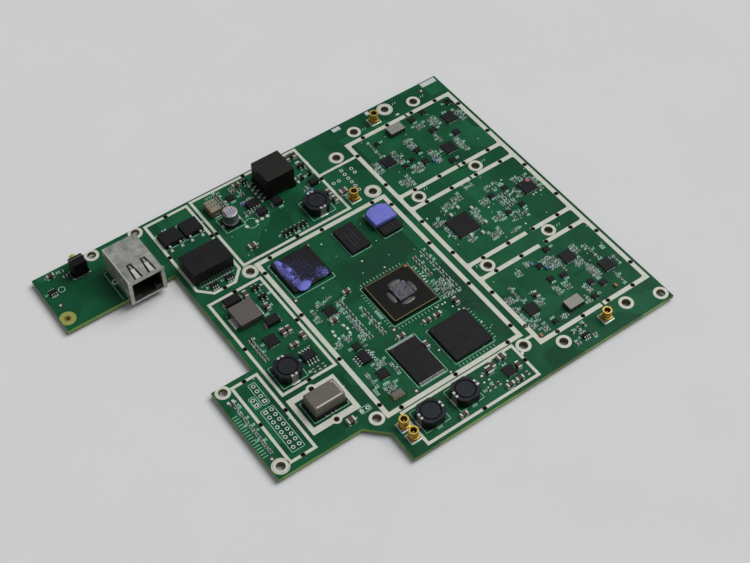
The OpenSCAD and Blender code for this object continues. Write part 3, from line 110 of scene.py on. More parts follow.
class Nodes:
    """The node tree of one material, in Object coordinates."""

    def __init__(self, material: bpy.types.Material, stretch: Triple) -> None:
        """Empties the material's tree.

        Args:
            material: the material.
            stretch: how much its noises are squeezed along each axis.
        """
        material.use_nodes = True
        self.stretch = stretch
        self.tree = material.node_tree
        self.tree.nodes.clear()
        self.where = self.add("ShaderNodeTexCoord").outputs["Object"]

    def add(
        self,
        kind: str,
        values: dict[str | int, object] | None = None,
        links: dict[str | int, Socket] | None = None,
        **settings: object,
    ) -> bpy.types.Node:
        """Adds a node.

        Args:
            kind: the node's type name.
            values: default values by input socket.
            links: the sockets that feed its inputs.
            settings: the node's own properties.

        Returns:
            The new node.
        """
        node = self.tree.nodes.new(kind)
        for name, setting in settings.items():
            setattr(node, name, setting)
        for name, value in (values or {}).items():
            node.inputs[name].default_value = value
        for name, socket in (links or {}).items():
            self.tree.links.new(socket, node.inputs[name])
        return node

    def noise(self, grain_mm: float) -> Socket:
        """Adds a noise of a real grain size.

        Args:
            grain_mm: the size of one patch.

        Returns:
            The noise, 0 to 1.
        """
        placed = self.add("ShaderNodeMapping", {"Scale": self.stretch}, {"Vector": self.where})
        values = {"Scale": 1 / (grain_mm * MM), "Detail": 4.0, "Roughness": 0.6}
        return self.add("ShaderNodeTexNoise", values, {"Vector": placed.outputs["Vector"]}).outputs["Fac"]

    def spread(self, grain_mm: float, low: float, high: float) -> Socket:
        """Adds a noise that runs over a range.

        Args:
            grain_mm: the size of one patch.
            low: the lowest value.
            high: the highest value.

        Returns:
            The value.
        """
        values = {"From Min": NOISE_LOW, "From Max": NOISE_HIGH, "To Min": low, "To Max": high}
        return self.add("ShaderNodeMapRange", values, {"Value": self.noise(grain_mm)}).outputs["Result"]

    def blend(self, share: Socket, first: str | Socket, second: str | Socket) -> Socket:
        """Blends two colours, each a hex code or a socket.

        Args:
            share: the second colour's share.
            first: the first colour.
            second: the second colour.

        Returns:
            The blended colour.
        """
        mix = self.add("ShaderNodeMix", links={"Factor": share}, data_type="RGBA")
        for socket, tint in ((MIX_A, first), (MIX_B, second)):
            if isinstance(tint, str):
                mix.inputs[socket].default_value = linear(tint)
            else:
                self.tree.links.new(tint, mix.inputs[socket])
        return mix.outputs[MIX_OUT]


@dataclass(frozen=True)
class Finish:
    """A surface: two colours mottled at a real grain size, with gloss and fine relief."""

    title: str
    base: str
    shade: str
    grain_mm: float = 2.0
    roughness: float = 0.5
    roughness_spread: float = 0.1
    metallic: float = 0.0
    ior: float = 1.5
    relief_mm: float = 0.0
    relief_grain_mm: float = 0.4
    coat: float = 0.0
    specular: float = 0.5
    stretch: Triple = (1.0, 1.0, 1.0)
    gloss_grain: float = 1.7  # patches of gloss are this much larger than those of colour

    def build(self) -> bpy.types.Material:
        """Makes the material.

        Returns:
            The material, with its colour, gloss and relief.
        """
        material = bpy.data.materials.new(self.title)
        nodes = Nodes(material, self.stretch)
        values = {
            "Metallic": self.metallic, "Roughness": self.roughness, "Coat Weight": self.coat,
            "Specular IOR Level": self.specular,
        }
        shader = nodes.add("ShaderNodeBsdfPrincipled", values, {"Base Color": self.colour(nodes)})
        if self.metallic < 1:
            shader.inputs["IOR"].default_value = self.ior
        if self.roughness_spread:
            half = self.roughness_spread / 2
            low, high = max(self.roughness - half, SMOOTHEST), self.roughness + half
            gloss = nodes.spread(self.grain_mm * self.gloss_grain, low, high)
            nodes.tree.links.new(gloss, shader.inputs["Roughness"])
        if self.relief_mm:
            height = nodes.noise(self.relief_grain_mm)
            bump = nodes.add("ShaderNodeBump", {"Distance": self.relief_mm * MM}, {"Height": height})
            nodes.tree.links.new(bump.outputs["Normal"], shader.inputs["Normal"])
        nodes.add("ShaderNodeOutputMaterial", links={"Surface": shader.outputs["BSDF"]})
        return material

    def colour(self, nodes: Nodes) -> Socket:
        """Mottles the base colour with the shade."""
        return nodes.blend(nodes.spread(self.grain_mm, 0.0, 1.0), self.base, self.shade)


@dataclass(frozen=True)
class SidedFinish(Finish):
    """A finish whose upright faces take other colours than its level ones: on the laminate the sawn edge's
    own colour, on the other parts painted shade and painted reflection.
    """

    side: str = "#808080"
    side_shade: str = "#606060"
    side_grain_mm: float = 0.6

    def colour(self, nodes: Nodes) -> Socket:
        """Shows the side's colours where the surface stands upright.

        Args:
            nodes: the material's nodes.

        Returns:
            The colour.
        """
        top = super().colour(nodes)
        facing = nodes.add("ShaderNodeTexCoord").outputs["Normal"]
        rise = nodes.add("ShaderNodeSeparateXYZ", links={"Vector": facing}).outputs["Z"]
        level = nodes.add("ShaderNodeMath", links={0: rise}, operation="ABSOLUTE").outputs[0]
        side = nodes.blend(nodes.spread(self.side_grain_mm, 0.0, 1.0), self.side, self.side_shade)
        return nodes.blend(level, side, top)


@dataclass(frozen=True)
class SpeckledFinish(Finish):
    """A surface with specks of its shade where the noise is high."""

    threshold: float = 0.5
    softness: float = 0.08

    def colour(self, nodes: Nodes) -> Socket:
        """Keeps the base colour and lets the shade show in specks.

        Args:
            nodes: the material's nodes.

        Returns:
            The colour.
        """
        values = {"From Min": self.threshold, "From Max": self.threshold + self.softness}
        share = nodes.add("ShaderNodeMapRange", values, {"Value": nodes.noise(self.grain_mm)})
        return nodes.blend(share.outputs["Result"], self.base, self.shade)


@dataclass(frozen=True)
class SolderMask(SidedFinish):
    """Glossy mask over copper pours with straight borders, and sawn laminate on the edges."""

    pour_mm: float = 17.0
    pour: str = "#04301c"
    pour_share: float = 0.62

    def colour(self, nodes: Nodes) -> Socket:
        """Darkens the mask over some of the pours.

        Args:
            nodes: the material's nodes.

        Returns:
            The colour.
        """
        bare = super().colour(nodes)
        values = {"Scale": 1 / (self.pour_mm * MM), "Randomness": 0.9}
        cells = nodes.add("ShaderNodeTexVoronoi", values, {"Vector": nodes.where}, distance="CHEBYCHEV")
        tone = nodes.add("ShaderNodeSeparateColor", links={"Color": cells.outputs["Color"]}).outputs["Red"]
        share = nodes.add("ShaderNodeMath", {1: self.pour_share}, {0: tone}, operation="MULTIPLY")
        return nodes.blend(share.outputs[0], bare, self.pour)


class Look(Enum):
    """The looks of the board: the slot of the record that each belongs to, and its finish."""

    # Light-cured mask over copper: deep green and glossy, yellow-green where the laminate is sawn
    MASK = "laminate", SolderMask(
        "gloss_solder_mask", "#1a5a3a", "#144a30", 9, 0.3, 0.1, ior=1.4, relief_mm=0.01, specular=0.15,
        side="#a0b156", side_shade="#7aa850",
    )
    # Hot-air levelled tin: pale, faintly warm and dull
    TRACK = "tinned_track", Finish(
        "levelled_tin", "#c4c5b9", "#b7b8ab", 1.4, 0.5, 0.2, 0.15, relief_mm=0.02, specular=0.3
    )
    LAND = "solder_land", Finish("reflowed_solder", "#ccd3cf", "#a9b1ad", 0.8, 0.4, 0.2, 0.35, relief_mm=0.02)
    # Rolled sheet with a bright nickel plate, smudged by handling; its upright faces take a lighter colour
    # than its top: painted reflection
    SHELL = "nickel_shell", SidedFinish(
        "nickel_plated_sheet", "#b6b7b1", "#83857f", 3.6, 0.35, 0.2, 0.6, side="#c2c3b6",
        side_shade="#8f938a", side_grain_mm=3.0,
    )
    SOCKET = "socket_plastic", Finish(
        "glass_filled_nylon", "#151411", "#0c0b0a", 1.0, 0.55, 0.1, relief_mm=0.02, specular=0.3
    )
    # Gold over nickel: warm where it faces up, brown on its upright faces and in its bores, which is painted
    # shade
    GOLD = "gold_plate", SidedFinish(
        "gold_plated_brass", "#d9b95f", "#b99434", 0.9, 0.3, 0.15, 0.7, side="#a5842f", side_shade="#6f5216",
    )
    PLASTIC = "black_plastic", Finish(
        "moulded_black_abs", "#110f10", "#0a0809", 1.2, 0.45, 0.15, relief_mm=0.01, specular=0.15
    )
    LENS = "led_epoxy", Finish("tinted_epoxy_lens", "#a9ac35", "#8d9426", 2.0, 0.25, 0.05, coat=0.4)
    # Tin plate whose upright faces are coloured dark grey: painted shade
    LEAD = "tinned_lead", SidedFinish(
        "matte_tin_plate", "#c3c8c5", "#9ca19e", 0.6, 0.4, 0.15, 0.4, side="#8b8b85", side_shade="#4c4c48",
    )
    EPOXY = "moulded_epoxy", Finish(
        "moulded_epoxy", "#151517", "#1d1d1f", 4.5, 0.45, 0.12, relief_mm=0.01, relief_grain_mm=0.15,
        specular=0.13,
    )
    # Varnished core whose upright faces are darker than its top: painted shade
    TAPE = "core_tape", SidedFinish(
        "varnished_core", "#222220", "#1b1b19", 2.5, 0.45, 0.1, relief_mm=0.02, specular=0.15,
        side="#0f0f0d", side_shade="#161210",
    )
    # Beige epoxy whose upright faces are darker and browner than its top: painted shade
    TAN = "tan_epoxy", SidedFinish(
        "beige_epoxy", "#827c66", "#736e5a", 1.5, 0.5, 0.1, relief_mm=0.01, side="#6d6340",
        side_shade="#5d5436",
    )
    # Aluminium whose upright faces are coloured a dark greenish grey: painted reflection of the green board
    CAN = "aluminium_can", SidedFinish(
        "drawn_aluminium", "#b2acb6", "#9c96a0", 1.2, 0.4, 0.1, 0.5, side="#7c8280", side_shade="#3a423e",
        side_grain_mm=3.0,
    )
    # Ferrite with a bluish top, which is painted reflection of the sky, and darker upright faces, which are
    # painted shade
    FERRITE = "ferrite", SidedFinish(
        "sintered_ferrite", "#1d2026", "#15171b", 0.9, 0.4, 0.15, relief_mm=0.02, specular=0.2,
        side="#101312", side_shade="#0b0d0c",
    )
    # Iron powder whose upright faces are darker than its top: painted shade
    COIL = "coil_epoxy", SidedFinish(
        "pressed_iron_powder", "#54504b", "#46423e", 0.9, 0.5, 0.12, relief_mm=0.03, side="#3f3a36",
        side_shade="#322e2b",
    )
    # Drawn steel can with a brushed top; its upright faces take a lighter, greener colour: painted reflection
    STEEL = "steel_can", SidedFinish(
        "plated_steel_can", "#6b655f", "#59544f", 2.0, 0.4, 0.12, 0.5, side="#85836f", side_shade="#4f5045",
        stretch=(1.0, 6.0, 1.0),
    )
    CERAMIC = "package_ceramic", Finish("fired_alumina", "#8a7d52", "#6d6240", 0.8, 0.5, 0.1)
    # Silvered ceramic whose upright faces are much darker than its top: painted shade
    RESONATOR = "resonator_ceramic", SidedFinish(
        "silvered_ceramic", "#8b8a81", "#72716a", 0.8, 0.45, 0.1, 0.2, side="#4a4b45", side_shade="#33342f",
    )
    # White fluoropolymer coloured brown: painted shade deep inside the shell
    PTFE = "ptfe", Finish("white_fluoropolymer_in_painted_shade", "#8d6f45", "#6f5434", 1.0, 0.45, 0.05)
    SUBSTRATE = "chip_substrate", Finish(
        "organic_substrate", "#080a07", "#0e110b", 1.2, 0.4, 0.1, specular=0.15
    )
    SILICON = "silicon", Finish("ground_silicon", "#33333c", "#62626e", 1.6, 0.35, 0.15, 0.15, specular=0.3)
    PAD = "gap_pad", Finish(
        "silicone_gap_filler", "#6c70c6", "#5a5fb2", 1.5, 0.65, 0.1, relief_mm=0.1, relief_grain_mm=1.2
    )
    CAPACITOR = "capacitor_ceramic", Finish(
        "fired_titanate", "#271b14", "#5e4737", 7.0, 0.45, 0.1, specular=0.3
    )
    RESISTOR = "resistor_glaze", Finish("glass_overcoat", "#101114", "#0b0c0e", 0.6, 0.35, 0.1)

    def __init__(self, slot: str, finish: Finish) -> None:
        """Keeps the slot and the finish."""
        self.slot, self.finish = slot, finish


# The finishes below belong to small pieces.
# Legend ink, thin enough that the green under it tints it
INK = Finish("legend_ink", "#a9d3c2", "#8fbba9", 0.8, 0.55, 0.1, specular=0.2)
# Where the mask is open: raw laminate. The tin of the wide bores is coloured olive and that of the pin bores
# near-black: painted shade deep in the bore. The same near-black fills the mask opening round each fiducial.
BARE_CORE = Finish("sawn_laminate", "#8f9042", "#7d7e36", 0.6, 0.6, 0.1)
BORE_TIN_SHADE = Finish("plated_bore", "#7c7040", "#5a5028", 0.5, 0.45, 0.1, 0.3)
PIN_BORE = Finish("bore_painted_shade_and_fiducial_window", "#2b2617", "#1c190f", 0.5, 0.5, 0.1, 0.2)
# Copper under the mask, a shade darker than the mask alone
MASKED_COPPER = Finish("masked_copper", "#113f29", "#0e3723", 3.0, 0.3, 0.1, specular=0.3)
DEEP_MASK = Finish("mask_over_inner_pour", "#123f2a", "#0f3825", 5.0, 0.3, 0.1, specular=0.15)
# Cured resin round the die, translucent grey
GLUE = Finish("underfill_resin", "#2b2e2b", "#565a55", 0.9, 0.4, 0.1)
# The few small parts of another colour
BLUE_GLAZE = Finish("blue_glaze", "#3f6f96", "#2f5577", 0.8, 0.4, 0.1)
PALE_GLAZE = Finish("pale_ferrite_glaze", "#b9bdb4", "#9da398", 0.8, 0.4, 0.1)
OCHRE_GLAZE = Finish("ochre_glaze", "#8a6a38", "#6f5228", 0.8, 0.4, 0.1)
# Print, and thin lines of light and shade: painted shadow in slits and notches, and painted highlight on
# folds and on the socket's tongues and rims
PRINT_DARK = Finish("dark_print", "#3a3a34", "#2c2c28", 0.6, 0.6, 0.1)
SHADOW_GAP = Finish("painted_slit_shadow", "#1c1d1b", "#131412", 0.6, 0.7, 0.0, specular=0.1)
PAINTED_HIGHLIGHT = Finish("painted_edge_highlight", "#dcdcd4", "#bdbdb5", 1.0, 0.3, 0.1, 0.4)
SUBSTRATE_RIM = Finish("substrate_rim", "#7f7230", "#66592a", 1.2, 0.5, 0.1)
INDEX_COPPER = Finish("index_copper", "#a87434", "#8a5c28", 0.5, 0.4, 0.1, 0.3)
# Gap filler wiped off a chip: the same specks in all three, more of them where it was thick
THICK_FILM = SpeckledFinish(
    "thick_filler_film", "#191a26", "#5f60a6", 0.55, 0.6, 0.1, threshold=0.43, specular=0.15
)
WIPED_FILM = SpeckledFinish(
    "wiped_filler_film", "#17171d", "#53549a", 0.55, 0.6, 0.1, threshold=0.49, specular=0.15
)
THIN_FILM = SpeckledFinish(
    "thin_filler_film", "#151518", "#3f4074", 0.55, 0.6, 0.1, threshold=0.55, specular=0.15
)
# Tinned leads coloured dark: painted shade under their body
SHADED_TIN = SidedFinish(
    "shaded_tin_plate", "#4c4c48", "#34342f", 0.6, 0.5, 0.1, 0.3, side="#2c2c2a", side_shade="#1c1c1a"
)
# A band of painted highlight on black plastic, worn print on black plastic, and the dot that an inspector
# leaves
HOUSING_HIGHLIGHT = Finish("housing_painted_highlight", "#5c4b43", "#43362f", 0.6, 0.5, 0.1)
WORN_PRINT = Finish("worn_print", "#38383b", "#262628", 0.8, 0.6, 0.1, specular=0.15)
PINK_DOT = Finish("inspection_dot", "#b0525e", "#9a4450", 0.6, 0.6, 0.0)


class Materials:
    """Builds each finish once and hands it out."""

    def __init__(self) -> None:
        """Starts with nothing built."""
        self.made: dict[str, bpy.types.Material] = {}

    def get(self, finish: Look | Finish) -> bpy.types.Material:
        """Returns the material of a finish, built at its first use.

        Args:
            finish: the finish, or the look that names it.

        Returns:
            The material.
        """
        chosen = finish.finish if isinstance(finish, Look) else finish
        if chosen.title not in self.made:
            self.made[chosen.title] = chosen.build()
        return self.made[chosen.title]


# ---- Shapes -----------------------------------------------------------------------


@dataclass(frozen=True)
class Box:
    """The bounding box of one solid."""

    low: Vector
    high: Vector

    @property
    def centre(self) -> Vector:
        """The middle of the box."""
        return (self.low + self.high) / 2

    @property
    def size(self) -> Vector:
        """The lengths of the box's sides."""
        return self.high - self.low

    @property
    def foot(self) -> Vector:
        """The middle of the box's underside."""
        return Vector((*self.centre.xy, self.low.z))


def merged(node: Node) -> Mesh:
    """Copies a node's mesh with its doubles merged.

    Args:
        node: the node.

    Returns:
        The copy.
    """
    bm = bmesh.new()
    bm.from_mesh(node.data)
    bmesh.ops.remove_doubles(bm, verts=bm.verts, dist=WELD)
    return bm


def islands(bm: Mesh) -> list[Box]:
    """Finds the boxes of a mesh's separate parts.

    Args:
        bm: the mesh, freed here.

    Returns:
        One box for each part, in metres.
    """
    found: list[Box] = []
    seen: set[int] = set()
    bm.verts.index_update()
    for start in bm.verts:
        if start.index in seen:
            continue
        seen.add(start.index)
        group, queue = [start], [start]
        while queue:
            for edge in queue.pop().link_edges:
                for vert in edge.verts:
                    if vert.index not in seen:
                        seen.add(vert.index)
                        group.append(vert)
                        queue.append(vert)
        axes = list(zip(*(v.co for v in group)))
        found.append(Box(Vector(map(min, axes)), Vector(map(max, axes))))
    bm.free()
    return found


def bores(plate: Node) -> list[Box]:
    """Finds the holes of a plate.

    Args:
        plate: the plate's node.

    Returns:
        One box for each hole, in metres.
    """
    bm = merged(plate)
    level = [f for f in bm.faces if abs(f.normal.z) > LEVEL]
    bmesh.ops.delete(bm, geom=level, context="FACES")
    walls = islands(bm)
    outline = max(walls, key=lambda wall: wall.size.x)
    return [wall for wall in walls if wall is not outline]


def placing(centre: Vector, size: Vector, turn: float = 0.0) -> Matrix:
    """Returns the matrix that scales, turns about Z by radians, and moves to a place."""
    return Matrix.Translation(centre) @ Matrix.Rotation(turn, 4, "Z") @ Matrix.Diagonal((*size, 1))


def block(bm: Mesh, centre: Vector, size: Vector, turn: float = 0.0) -> None:
    """Adds a box by its middle, its side lengths and its turn about Z in radians."""
    bmesh.ops.create_cube(bm, size=1, matrix=placing(centre, size, turn))


def blob(bm: Mesh, centre: Vector, size: Vector, turn: float = 0.0) -> None:
    """Adds a rounded smear by its middle, its full lengths and its turn about Z in radians."""
    bmesh.ops.create_icosphere(bm, subdivisions=2, radius=0.5, matrix=placing(centre, size, turn))


def mound(bm: Mesh, foot: Vector, size: Vector, top: float) -> None:
    """Adds a four-sided mound, as solder stands against a part.

    Args:
        bm: the mesh that gets the mound.
        foot: the middle of its underside.
        size: its side lengths at the foot and its height.
        top: the share of the sides that is left at the top.
    """
    half = math.sqrt(0.5)
    middle = foot + Vector((0, 0, size.z / 2))
    squared = placing(middle, Vector((size.x, size.y, 1))) @ Matrix.Rotation(math.pi / 4, 4, "Z")
    bmesh.ops.create_cone(
        bm, cap_ends=True, segments=4, radius1=half, radius2=top * half, depth=size.z, matrix=squared
    )


def disc(bm: Mesh, foot: Vector, radius: float, height: float, sides: int = 16) -> None:
    """Adds a round disc.

    Args:
        bm: the mesh that gets the disc.
        foot: the middle of its underside.
        radius: its radius, in millimetres as its height is.
        height: its height.
        sides: the number of its sides.
    """
    radius, height = radius * MM, height * MM
    matrix = Matrix.Translation(foot + Vector((0, 0, height / 2)))
    bmesh.ops.create_cone(
        bm, cap_ends=True, segments=sides, radius1=radius, radius2=radius, depth=height, matrix=matrix
    )


def ring(bm: Mesh, foot: Vector, inner: float, outer: float, height: float, steps: int = 32) -> None:
    """Adds a ring, spun round the vertical through its middle.

    Args:
        bm: the mesh that gets the ring.
        foot: the middle of its underside.
        inner: its inner radius, in millimetres as the lengths after it are.
        outer: its outer radius.
        height: its height.
        steps: the number of its sides.
    """
    corners = [(inner, 0), (outer, 0), (outer, height), (inner, height)]
    verts = [bm.verts.new(foot + Vector((r * MM, 0, z * MM))) for r, z in corners]
    edges = [bm.edges.new((verts[i - 1], verts[i])) for i in range(4)]
    bmesh.ops.spin(
        bm, geom=verts + edges, cent=foot, axis=(0, 0, 1), angle=math.tau, steps=steps, use_merge=True
    )


def piece(name: str, bm: Mesh, material: bpy.types.Material, smooth: bool = True) -> Node:
    """Makes a finished piece of a mesh and lets it ride on the board.

    Args:
        name: the piece's name.
        bm: its mesh, freed here.
        material: its material.
        smooth: whether its faces blend into each other; a boxy piece keeps flat facets.

    Returns:
        The piece.
    """
    bmesh.ops.recalc_face_normals(bm, faces=bm.faces)
    mesh = bpy.data.meshes.new(name)
    bm.to_mesh(mesh)
    bm.free()
    mesh.polygons.foreach_set("use_smooth", [smooth] * len(mesh.polygons))
    if smooth:
        mesh.set_sharp_from_angle(angle=SHARP)
    mesh.materials.append(material)
    made = bpy.data.objects.new(name, mesh)
    bpy.context.scene.collection.objects.link(made)
    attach(made, BODY)
    LOG.info("%s: %d faces", name, len(mesh.polygons))
    return made


@dataclass
class Assembly:
    """What every sub-assembly has: the nodes, the materials and the corner that places start at."""

    nodes: dict[str, Node]
    materials: Materials
    corner: Vector

    def build(self) -> None:
        """Dresses the sub-assembly and adds its pieces."""
        raise NotImplementedError

    def at(self, x: float, y: float, z: float = 0.0) -> Vector:
        """Returns a place on the board; z counts from the top of the laminate."""
        return self.corner + mm(x, y, z)

    def dress(self, look: Look, *names: str) -> None:
        """Gives nodes their finish and keeps their shape.

        Args:
            look: the finish.
            names: the nodes.
        """
        for name in names:
            data = self.nodes[name].data
            data.materials.clear()
            data.materials.append(self.materials.get(look))

    def round_off(
        self, look: Look, width_mm: float, *names: str, segments: int = 1, smooth: bool = False
    ) -> list[Node]:
        """Replaces nodes with copies whose sharp edges are rounded.

        Args:
            look: the finish.
            width_mm: the width of the rounding.
            names: the nodes.
            segments: the number of faces over each rounding.
            smooth: whether the faces blend, for round parts.

        Returns:
            The copies.
        """
        copies: list[Node] = []
        for name in names:
            bm = merged(self.nodes[name])
            bmesh.ops.dissolve_limit(bm, angle_limit=FLAT, verts=bm.verts, edges=bm.edges)
            sharp = [e for e in bm.edges if len(e.link_faces) == 2 and e.calc_face_angle(0) > SHARP]
            bmesh.ops.bevel(
                bm, geom=sharp, offset=width_mm * MM, offset_type="OFFSET", segments=segments,
                profile=0.5, affect="EDGES", clamp_overlap=True, material=-1,
            )
            made = piece(name + "_edged", bm, self.materials.get(look), smooth)
            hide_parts(name)
            copies.append(made)
        return copies

    def boxes(self, name: str) -> list[Box]:
        """Returns the boxes of a node's separate solids."""
        return islands(merged(self.nodes[name]))

    def add(self, name: str, bm: Mesh, finish: Look | Finish, look: Look | None = None) -> Node:
        """Adds a piece in a finish; look is not used."""
        return piece(name, bm, self.materials.get(finish))

    def stroke(
        self, bm: Mesh, start: Place, end: Place, width_mm: float, height_mm: float, z: float = 0.0
    ) -> None:
        """Lays one flat stroke on the board or on a part's top.

        Args:
            bm: the mesh that gets the stroke.
            start: where it starts.
            end: where it ends.
            width_mm: its width.
            height_mm: its height.
            z: the level that it lies on, in millimetres above the laminate.
        """
        run = Vector(end) - Vector(start)
        middle = self.at((start[0] + end[0]) / 2, (start[1] + end[1]) / 2, z + height_mm / 2)
        size = mm(run.length + width_mm, width_mm, height_mm)
        block(bm, middle, size, math.atan2(run.y, run.x))

    def outline(self, bm: Mesh, span: Span, width_mm: float, height_mm: float, z: float = 0.0) -> None:
        """Lays the four sides of a rectangle, as strokes.

        Args:
            bm: the mesh that gets the strokes.
            span: two opposite corners.
            width_mm: the width of a stroke.
            height_mm: its height.
            z: the level that it lies on, in millimetres above the laminate.
        """
        x0, y0, x1, y1 = span
        corners = ((x0, y0), (x1, y0), (x1, y1), (x0, y1))
        for i, corner in enumerate(corners):
            self.stroke(bm, corners[i - 1], corner, width_mm, height_mm, z)


# ---- Laminate ---------------------------------------------------------------------


@dataclass
class Laminate(Assembly):
    """The laminate with its mask, bores, masked traces, vias and bare lands."""

    thickness: float = 1.6
    land_h: float = 0.1
    plating: float = 0.08
    clock_pin_r: float = 1.12
    bore_steps: int = 24
    tooling_r: float = 0.9
    tooling_at: Place = (2.7, 126.6)
    # Rings round the tooling hole: outer radius and height. The first is bare laminate; the second, coloured
    # olive, is painted shade as of a wider bore.
    tooling_ring: Place = (3.3, 0.12)
    tooling_rim_shade: Place = (1.4, 0.13)
    # Lands that are wider than the rest: place and radius, round one inner radius
    collars: Sequence[Triple] = (
        (71.05, 105.2, 3.3), (32.15, 25.1, 3.4), (134.3, 111.4, 3.5), (133, 135.5, 3.2), (166.1, 146.8, 3.5),
    )
    collar_r: float = 2.9
    # Inner copper that darkens the mask over it
    pours: Sequence[Patch] = ((113, 80, 24, 12), (128, 84, 6, 16), (131.5, 52, 8, 26))
    pour_h: float = 0.004
    # Traces under the mask: three points, the number of lines and their pitch
    traces: Sequence[tuple[Place, Place, Place, int, float]] = (
        ((129.5, 25), (132.5, 30), (132.5, 39), 5, 0.7), ((132.5, 39), (130, 44), (124, 46.5), 4, 0.7),
        ((145.5, 39), (147.5, 43), (147.5, 49), 3, 0.9), ((168, 104), (174, 104), (178, 108), 3, 0.9),
        ((147, 14), (153, 14), (157, 18), 3, 0.9), ((184, 62), (188, 62), (190, 66), 3, 0.9),
    )
    trace: Place = (0.2, 0.015)  # width and height
    trace_slant: float = 0.6
    lands: Sequence[Place] = (
        (101.3, 100.4), (89.3, 81.9), (109.3, 84), (114.6, 76.3), (122.7, 72.7), (122.9, 69.9),
        (124.1, 68.8), (122.7, 68), (123.8, 65.4), (124, 64), (123.5, 62.5), (123.5, 61),
        (119.2, 48.7), (121.7, 48.7), (123, 48.7), (124.3, 45.5), (125.3, 43), (107.5, 32.3),
        (128.6, 33.4), (105, 21.9), (110, 12), (112, 11), (114.3, 11), (119.3, 6.6), (143.2, 86.6),
        (180.6, 85.5), (167.1, 76.9), (173.6, 61.4), (186.2, 71.7), (187.7, 71.9), (190, 71.7),
    )
    test_land: Place = (0.4, 0.05)  # radius and height
    # Bare rectangular lands and labels
    patches: Sequence[Patch] = (
        (142.4, 149.2, 3.8, 2), (158.6, 149.3, 1.8, 2), (191.2, 149.2, 7.6, 2.6), (118.4, 143.1, 1.9, 0.8),
        (168.8, 141.2, 1.6, 0.9), (31.4, 58.1, 1, 1.3), (33.3, 58.1, 1, 1.3), (82.8, 141.8, 0.9, 1.2),
    )
    via_r: float = 0.25
    open_via_r: float = 0.225
    via_h: float = 0.03
    open_every: int = 7
    # Where vias lie: two opposite corners and their number
    via_zones: Sequence[tuple[float, float, float, float, int]] = (
        (77, 22, 135, 105, 260), (142, 14, 193, 48, 110), (142, 58, 193, 92, 110), (142, 103, 193, 137, 120),
        (50, 30, 72, 100, 60), (72, 110, 120, 148, 70), (81, 3, 130, 17, 40), (36, 25, 46, 62, 24),
    )

    def build(self) -> None:
        """Dresses the laminate and adds what is plated in and on it."""
        self.dress(Look.MASK, "board")
        self.plate_bores()
        self.widen_lands()
        self.lay_traces()
        self.lay_lands()
        self.open_vias()

    def plate_bores(self) -> None:
        """Lines the bores: tin in the wide ones and near-black in the pin holes, both coloured as painted
        shade deep in the bore; bare laminate at the tooling hole.
        """
        wide, small, bare = bmesh.new(), bmesh.new(), bmesh.new()
        for bore in bores(self.nodes["board"]):
            radius = bore.size.x / 2 / MM
            if radius > self.clock_pin_r - self.plating:
                target = wide
            elif abs(radius - self.tooling_r) < self.plating:
                target = bare
            else:
                target = small
            if radius > self.plating:
                ring(target, bore.foot, radius - self.plating, radius, self.thickness, steps=self.bore_steps)
        self.add("mounting_bores", wide, BORE_TIN_SHADE, Look.LAND)
        self.add("pin_bores", small, PIN_BORE, Look.LAND)
        self.add("tooling_bore", bare, BARE_CORE, Look.MASK)

    def widen_lands(self) -> None:
        """Adds the collars of the wider mounting lands and the rings of the tooling hole: bare laminate, and
        inside it a ring of painted shade.
        """
        bm = bmesh.new()
        for x, y, radius in self.collars:
            ring(bm, self.at(x, y), self.collar_r, radius, self.land_h)
        self.add("land_collars", bm, Look.TRACK)
        bare, rim_shade = bmesh.new(), bmesh.new()
        ring(bare, self.at(*self.tooling_at), self.tooling_r, *self.tooling_ring)
        self.trim(bare)
        self.add("tooling_ring", bare, BARE_CORE, Look.MASK)
        # Olive ring at the hole's edge: painted shade, so that the hole looks as wide and dark as its bore
        ring(rim_shade, self.at(*self.tooling_at), self.tooling_r, *self.tooling_rim_shade)
        self.add("tooling_rim_shade", rim_shade, BORE_TIN_SHADE, Look.MASK)

    def trim(self, bm: Mesh) -> None:
        """Cuts off what hangs over the left edge of the board.

        Args:
            bm: the mesh.
        """
        parts, edge = [*bm.verts, *bm.edges, *bm.faces], (self.corner.x, 0, 0)
        bmesh.ops.bisect_plane(bm, geom=parts, plane_co=edge, plane_no=(-1, 0, 0), clear_outer=True)
        bmesh.ops.holes_fill(bm, edges=[e for e in bm.edges if e.is_boundary])

    def lay_traces(self) -> None:
        """Lays inner pours and bundles of traces under the mask."""
        deep, bm = bmesh.new(), bmesh.new()
        for x, y, length, width in self.pours:
            block(deep, self.at(x, y, self.pour_h / 2), mm(length, width, self.pour_h))
        self.add("inner_pours", deep, DEEP_MASK, Look.MASK)
        for first, second, third, count, pitch in self.traces:
            for i in range(count):
                step = Vector((i * pitch, -i * pitch * self.trace_slant))
                a, b, c = (tuple(Vector(p) + step) for p in (first, second, third))
                self.stroke(bm, a, b, *self.trace)
                self.stroke(bm, b, c, *self.trace)
        self.add("masked_traces", bm, MASKED_COPPER, Look.MASK)

    def lay_lands(self) -> None:
        """Adds the bare test lands and rectangular patches."""
        bm = bmesh.new()
        for x, y in self.lands:
            disc(bm, self.at(x, y), *self.test_land, sides=12)
        for x, y, length, width in self.patches:
            block(bm, self.at(x, y, self.land_h / 4), mm(length, width, self.land_h / 2))
        self.add("test_lands", bm, Look.LAND)

    def open_vias(self) -> None:
        """Strews small vias over the cells, some of them open."""
        draw = random.Random(SEED)
        closed, opened = bmesh.new(), bmesh.new()
        for x0, y0, x1, y1, count in self.via_zones:
            for i in range(count):
                foot = self.at(draw.uniform(x0, x1), draw.uniform(y0, y1))
                bare = i % self.open_every == 0
                target, radius = (opened, self.open_via_r) if bare else (closed, self.via_r)
                disc(target, foot, radius, self.via_h, sides=8)
        self.add("masked_vias", closed, MASKED_COPPER, Look.MASK)
        self.add("open_vias", opened, Look.LAND)


